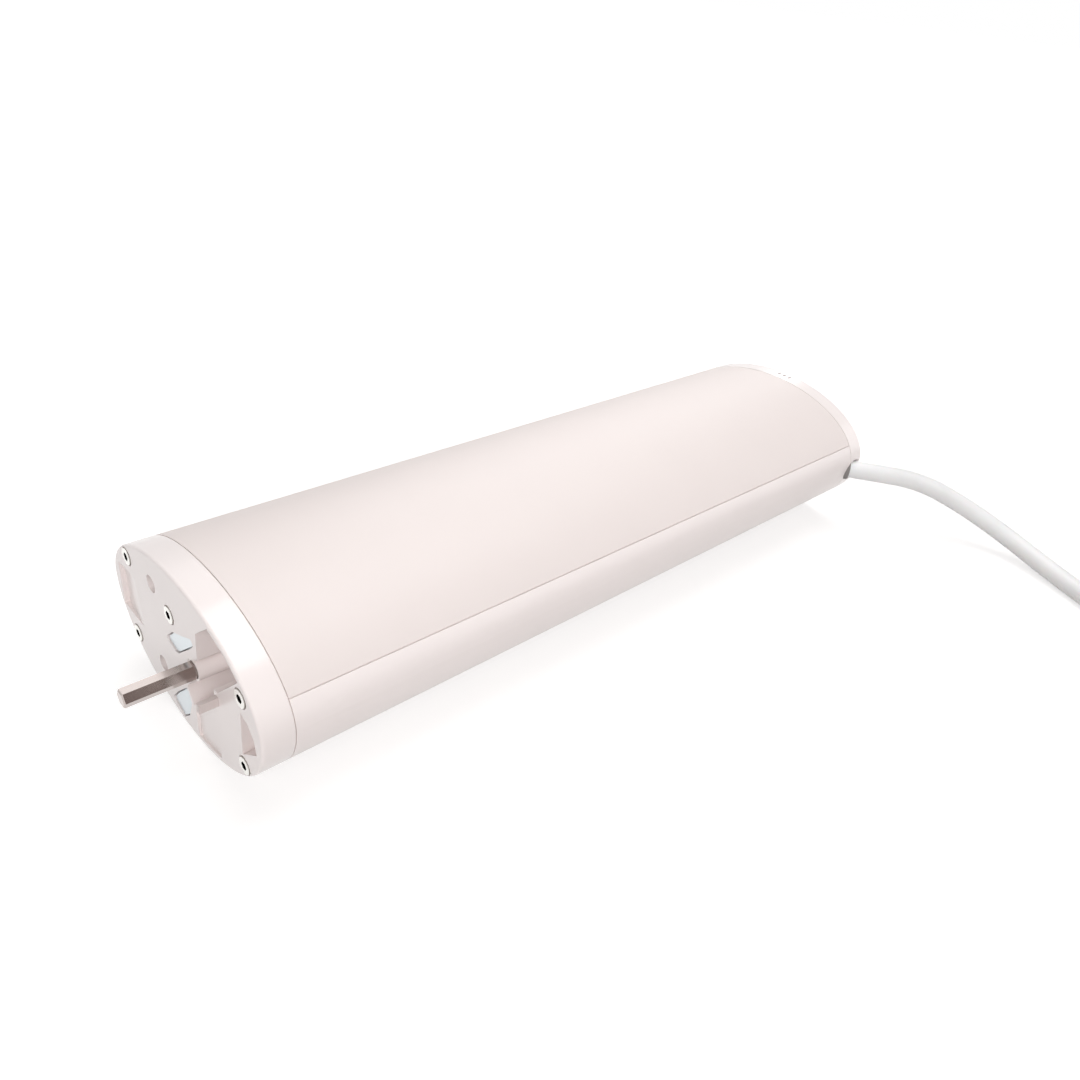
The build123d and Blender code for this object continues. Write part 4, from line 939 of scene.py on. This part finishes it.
@dataclass
class Plug:
    """Moulded plug with a tapered, ribbed strain relief, lying on the floor, in millimetres.

    Attributes:
        lead: the lead that it ends.
        relief: the strain relief's stations and the radius at each.
        relief_sides: edges round the strain relief.
        start: station where the body starts.
        long: the body's length.
        wide: the body's width.
        round_r: radius of its long corners.
        round_steps: steps in such a corner.
        grips: stations of the pressed grips, from the body's start.
        grip_wide: width of a grip.
        grip_rim: distance from a grip's edge to its hollow.
        grip_deep: depth of the hollow.
        back_slack: faces nearer to the start than this are the body's back.
        back_share: the back's width and height, as shares of the body's.
        edge: width of the bevel on the sharper edges.
        edge_steps: steps in that bevel.
    """

    lead: Lead
    relief: tuple = (
        (0.0, 5.1), (3.0, 5.4), (3.4, 5.0), (4.6, 5.05), (5.0, 5.55), (7.4, 5.75), (7.8, 5.3),
        (9.0, 5.4), (9.4, 5.95), (14.5, 6.3),
    )
    relief_sides: int = 32
    start: float = 14.0
    long: float = 34.0
    wide: float = 27.0
    round_r: float = 2.6
    round_steps: int = 5
    grips: tuple = (8.0, 13.0, 18.0, 23.0)
    grip_wide: float = 2.4
    grip_rim: float = 0.7
    grip_deep: float = 0.8
    back_slack: float = 0.5
    back_share: tuple = (0.86, 0.8)
    edge: float = 0.5
    edge_steps: int = 3

    def build_body(self, wardrobe: Wardrobe) -> bpy.types.Object:
        """Model the plug's body and its strain relief as one piece.

        Args:
            wardrobe: the finishes.

        Returns:
            The plug's body.
        """
        body = self.build_block()
        relief = turned("plug_relief", self.relief, self.relief_sides)
        for piece in (relief, body):
            piece.matrix_world = self.lead.plug_place()
            apply_all(piece)
        relief.select_set(True)
        bpy.ops.object.join()
        smooth(body)
        wardrobe.dress(body, Finish.JACKET)
        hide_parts("plug_body")
        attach(body, "housing")
        return body

    def build_block(self) -> bpy.types.Object:
        """Model the block: rounded long corners, a drawn-in back and pressed grips.

        Returns:
            The block, along X from its start.
        """
        height = 2 * self.lead.plug_place().translation.z / MM
        middle = self.start + self.long / 2
        block = primitive(bpy.ops.mesh.primitive_cube_add, "plug_shell", size=1,
                          location=(middle * MM, 0, 0),
                          scale=(self.long * MM, self.wide * MM, height * MM))
        apply_place()
        edit(block)
        for station in self.grips:
            for offset in (0.0, self.grip_wide):
                cut = (self.start + station + offset) * MM
                bpy.ops.mesh.select_all(action="SELECT")
                bpy.ops.mesh.bisect(plane_co=(cut, 0, 0), plane_no=(1, 0, 0))
        choose("FACE", lambda spot, normal: abs(normal.z) > ALIGNED and self.in_grip(spot.x / MM))
        bpy.ops.mesh.inset(thickness=self.grip_rim * MM, depth=-self.grip_deep * MM,
                           use_individual=True)
        choose("EDGE", lambda spot, way: abs(way.x) > ALIGNED and self.on_corner(spot, height))
        bpy.ops.mesh.bevel(offset=self.round_r * MM, segments=self.round_steps, affect="EDGES")
        back = (self.start + self.back_slack) * MM
        choose("FACE", lambda spot, normal: normal.x < -ALIGNED and spot.x < back)
        bpy.ops.transform.resize(value=(1, *self.back_share),
                                 center_override=(self.start * MM, 0, 0))
        leave_edit()
        bevel = block.modifiers.new("edges", "BEVEL")
        bevel.width = self.edge * MM
        bevel.segments = self.edge_steps
        bevel.limit_method = "ANGLE"
        return block

    def in_grip(self, x: float) -> bool:
        """Say whether a station lies between the two cuts of a grip.

        Args:
            x: the station.

        Returns:
            Whether it does.
        """
        return any(station < x - self.start < station + self.grip_wide for station in self.grips)

    def on_corner(self, spot: Vector, height: float) -> bool:
        """Say whether an edge runs along one of the block's four long corners.

        Args:
            spot: the edge's middle, in metres.
            height: the block's height.

        Returns:
            Whether it does.
        """
        return (abs(abs(spot.y) - self.wide * MM / 2) < TOUCHING
                and abs(abs(spot.z) - height * MM / 2) < TOUCHING)


@dataclass
class Tie:
    """Plastic strap round the coil's six windings, in millimetres.

    Attributes:
        lead: the lead that it holds.
        thick: the strap's thickness.
        wide: its width.
        clear: room above and below the windings; the strap also sits this far inwards.
        slack: room beside the windings, on each side.
        corner_steps: steps in each of its rounded corners.
        edge: width of the bevel on its edges.
        edge_steps: steps in that bevel.
    """

    lead: Lead
    thick: float = 0.6
    wide: float = 4.0
    clear: float = 0.25
    slack: float = 0.7
    corner_steps: int = 8
    edge: float = 0.15
    edge_steps: int = 2

    def build(self, wardrobe: Wardrobe) -> bpy.types.Object:
        """Model the strap as a rounded band and place it round the windings.

        Args:
            wardrobe: the finishes.

        Returns:
            The strap.
        """
        lead = self.lead
        turn = lead.half_turns()[0]
        across = (turn.end - turn.start).normalized()
        radius = (turn.start - turn.centre).length
        windings = (lead.turns_in + 1) / 2
        spread = (windings - 1) * lead.step
        width = spread + 2 * (lead.cord_r + self.slack + self.thick)
        height = lead.layer + 2 * (lead.cord_r + self.clear + self.thick)
        place = turn.centre + turn.way * (radius - spread / 2 - self.clear)
        place += across * lead.step / 2 + UP * (lead.layer / 2)
        band = primitive(bpy.ops.mesh.primitive_cube_add, "coil_tie", size=1,
                         scale=(width * MM, self.wide * MM, height * MM))
        apply_place()
        edit(band)
        choose("EDGE", lambda spot, way: abs(way.y) > ALIGNED)
        bpy.ops.mesh.bevel(offset=lead.cord_r * MM, segments=self.corner_steps, affect="EDGES")
        choose("FACE", lambda spot, normal: abs(normal.y) > ALIGNED)
        bpy.ops.mesh.delete(type="FACE")
        leave_edit()
        wall = band.modifiers.new("wall", "SOLIDIFY")
        wall.thickness = self.thick * MM
        wall.offset = -1
        edges = band.modifiers.new("edges", "BEVEL")
        edges.width = self.edge * MM
        edges.segments = self.edge_steps
        band.matrix_world = standing(turn.way, place)
        apply_all(band)
        smooth(band)
        wardrobe.dress(band, Finish.DARK)
        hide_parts("cable_tie")
        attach(band, "housing")
        return band


# Studio


@dataclass(frozen=True)
class Lamp:
    """Soft rectangular lamp, or a card that shows only in reflections.

    Attributes:
        name: the lamp's name.
        place: where it hangs, in metres.
        aim: what it points at, in metres.
        size: its width and height, in metres.
        watts: its power.
        diffuse: whether it lights surfaces.
        glossy: whether it shows in reflections.
    """

    name: str
    place: tuple
    aim: tuple
    size: tuple
    watts: float
    diffuse: bool = True
    glossy: bool = True

    def build(self) -> None:
        """Hang the lamp."""
        data = bpy.data.lights.new(self.name, "AREA")
        data.shape = "RECTANGLE"
        data.size, data.size_y = self.size
        data.energy = self.watts
        lamp = bpy.data.objects.new(self.name, data)
        bpy.context.scene.collection.objects.link(lamp)
        way = Vector(self.aim) - Vector(self.place)
        turn = way.to_track_quat("-Z", "Y").to_matrix().to_4x4()
        lamp.matrix_world = Matrix.Translation(Vector(self.place)) @ turn
        lamp.visible_diffuse = self.diffuse
        lamp.visible_glossy = self.glossy


LAMPS = (
    Lamp("overhead", (0.3, 0.12, 1.15), (0.0, 0.0, 0.0), (0.9, 0.9), 7.7),
    Lamp("drive_end_fill", (-1.2, -0.3, 0.35), (-0.14, 0.0, 0.03), (0.6, 0.6), 0.3),
    Lamp("side_fill", (0.35, -1.2, 0.5), (0.0, 0.0, 0.03), (1.4, 0.5), 1.3, glossy=False),
    Lamp("front_fill", (-0.72, -0.75, 0.62), (0.0, 0.0, 0.03), (0.6, 0.6), 6.5, glossy=False),
    Lamp("side_card", (0.85, -0.95, 0.45), (0.0, -0.05, 0.03), (1.6, 0.8), 4.0, diffuse=False),
    Lamp("back_card", (0.12, 0.87, 0.8), (-0.15, 0.0, 0.03), (0.5, 0.5), 0.5, diffuse=False),
    Lamp("cover_card", (0.85, 0.8, 0.75), (0.0, 0.0, 0.05), (1.0, 0.7), 6.0, diffuse=False),
)


@dataclass
class Studio:
    """Pale floor, white surround, soft lamps and the camera at the photograph's angle.

    Attributes:
        eye: the camera's place, in millimetres.
        ahead: the way in which it looks.
        right: what lies on its right.
        lens_mm: focal length.
        sensor_mm: width of the sensor.
        nearest: distance, in metres, from which it sees.
        floor_size: the floor's side, in metres.
        paper: the floor's colour.
        floor_glow: the floor's own light, near the object and far from it.
        glow_reach: distances, in metres, between which that light grows.
        surround: strength of the light from all around.
        surround_tint: colour of that light.
        flag_way: where a dark card hangs for the reflections.
        flag_spread: cosines, from that way, at which the card starts and at which it is full.
        flag_tint: the card's colour.
    """

    eye: tuple = (-211.52, -208.19, 207.55)
    ahead: tuple = (0.60815, 0.5874, -0.53395)
    right: tuple = (0.73446, -0.67158, 0.09771)
    lens_mm: float = 29.742
    sensor_mm: float = 36.0
    nearest: float = 0.01
    floor_size: float = 40.0
    paper: str = "#c8c6c5"
    floor_glow: tuple = (0.62, 0.95)
    glow_reach: tuple = (0.45, 1.6)
    surround: float = 0.25
    surround_tint: str = "#f7f3f1"
    flag_way: tuple = (0.222, -0.925, 0.306)
    flag_spread: tuple = (0.955, 0.985)
    flag_tint: str = "#7a6a65"

    def build_camera(self) -> None:
        """Set the camera that took the photograph."""
        data = bpy.data.cameras.new("camera")
        data.lens = self.lens_mm
        data.sensor_width = self.sensor_mm
        data.clip_start = self.nearest
        camera = bpy.data.objects.new("camera", data)
        bpy.context.scene.collection.objects.link(camera)
        ahead = Vector(self.ahead).normalized()
        right = Vector(self.right).normalized()
        turn = Matrix((right, right.cross(ahead), -ahead)).transposed().to_4x4()
        camera.matrix_world = Matrix.Translation(Vector(self.eye) * MM) @ turn
        bpy.context.scene.camera = camera

    def build_world(self) -> None:
        """Make the surround: plain soft light, seen as white, with a dark card in reflections."""
        world = bpy.data.worlds.new("surround")
        bpy.context.scene.world = world
        world.use_nodes = True
        tree = world.node_tree
        tree.nodes.clear()
        rays = add_node(tree, "ShaderNodeLightPath").outputs
        through = add_greater(tree, rays["Is Camera Ray"], rays["Is Transmission Ray"])
        seen = add_greater(tree, through, rays["Is Glossy Ray"])
        light = add_node(tree, "ShaderNodeBackground", {
            "Color": linear(self.surround_tint), "Strength": self.surround,
        })
        ways = add_node(tree, "ShaderNodeTexCoord").outputs["Generated"]
        toward = add_node(tree, "ShaderNodeVectorMath", {
            0: ways, 1: Vector(self.flag_way).normalized(),
        }, operation="DOT_PRODUCT")
        start, full = self.flag_spread
        flag = add_node(tree, "ShaderNodeMapRange", {
            "Value": toward.outputs["Value"], "From Min": start, "From Max": full,
        })
        card = add_node(tree, "ShaderNodeMath", {
            0: flag.outputs["Result"], 1: rays["Is Glossy Ray"],
        }, operation="MULTIPLY")
        tone = mix_colours(tree, card.outputs[0], WHITE, self.flag_tint)
        white = add_node(tree, "ShaderNodeBackground", {"Color": tone, "Strength": 1.0})
        mix = add_node(tree, "ShaderNodeMixShader", {
            0: seen, 1: light.outputs[0], 2: white.outputs[0],
        })
        add_node(tree, "ShaderNodeOutputWorld", {"Surface": mix.outputs[0]})

    def build_floor(self) -> None:
        """Make the floor, which keeps the object's shadow and is white to the camera elsewhere."""
        floor = primitive(bpy.ops.mesh.primitive_plane_add, "floor", size=self.floor_size)
        material = bpy.data.materials.new("paper_white")
        material.use_nodes = True
        tree = material.node_tree
        tree.nodes.clear()
        rays = add_node(tree, "ShaderNodeLightPath").outputs
        paper = add_node(tree, "ShaderNodeBsdfDiffuse", {"Color": linear(self.paper)})
        spot = add_node(tree, "ShaderNodeTexCoord").outputs["Object"]
        away = add_node(tree, "ShaderNodeVectorMath", {0: spot}, operation="LENGTH")
        near, far = self.glow_reach
        least, most = self.floor_glow
        level = add_node(tree, "ShaderNodeMapRange", {
            "Value": away.outputs["Value"], "From Min": near, "From Max": far,
            "To Min": least, "To Max": most,
        })
        glow = add_node(tree, "ShaderNodeEmission", {
            "Color": linear(WHITE), "Strength": level.outputs["Result"],
        })
        both = add_node(tree, "ShaderNodeAddShader", {0: paper.outputs[0], 1: glow.outputs[0]})
        seen = add_greater(tree, rays["Is Camera Ray"], rays["Is Glossy Ray"])
        mix = add_node(tree, "ShaderNodeMixShader", {
            0: seen, 1: paper.outputs[0], 2: both.outputs[0],
        })
        add_node(tree, "ShaderNodeOutputMaterial", {"Surface": mix.outputs[0]})
        floor.data.materials.append(material)

    def build(self) -> None:
        """Set up the whole studio."""
        self.build_camera()
        self.build_world()
        self.build_floor()
        for lamp in LAMPS:
            lamp.build()
        bpy.context.scene.view_settings.view_transform = "Standard"
        LOG.info("studio is set")


# The whole scene


def shorten_spring(spring: bpy.types.Object) -> None:
    """Give the peg's spring its own copy of its mesh.

    Args:
        spring: the spring.
    """
    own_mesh(spring)


def clear_rest(keep: dict) -> None:
    """Remove what a new Blender file holds besides the frame.

    Args:
        keep: the frame.
    """
    kept = set(keep["nodes"].values()) | set(keep["bodies"].values())
    for thing in list(bpy.data.objects):
        if thing not in kept:
            bpy.data.objects.remove(thing)


def main() -> None:
    """Build the scene piece by piece."""
    logging.basicConfig(level=logging.INFO, format="%(message)s")
    clear_rest(frame)
    wardrobe = Wardrobe()
    Studio().build()
    wardrobe.dress_frame(frame["nodes"])
    lead = Lead()
    tie = Tie(lead).build(wardrobe)
    plug = Plug(lead).build_body(wardrobe)
    lead.build(wardrobe, [plug, tie, frame["nodes"]["plug_pins"]])
    shorten_spring(frame["nodes"]["detent_spring"])


if __name__ == "__main__":
    main()
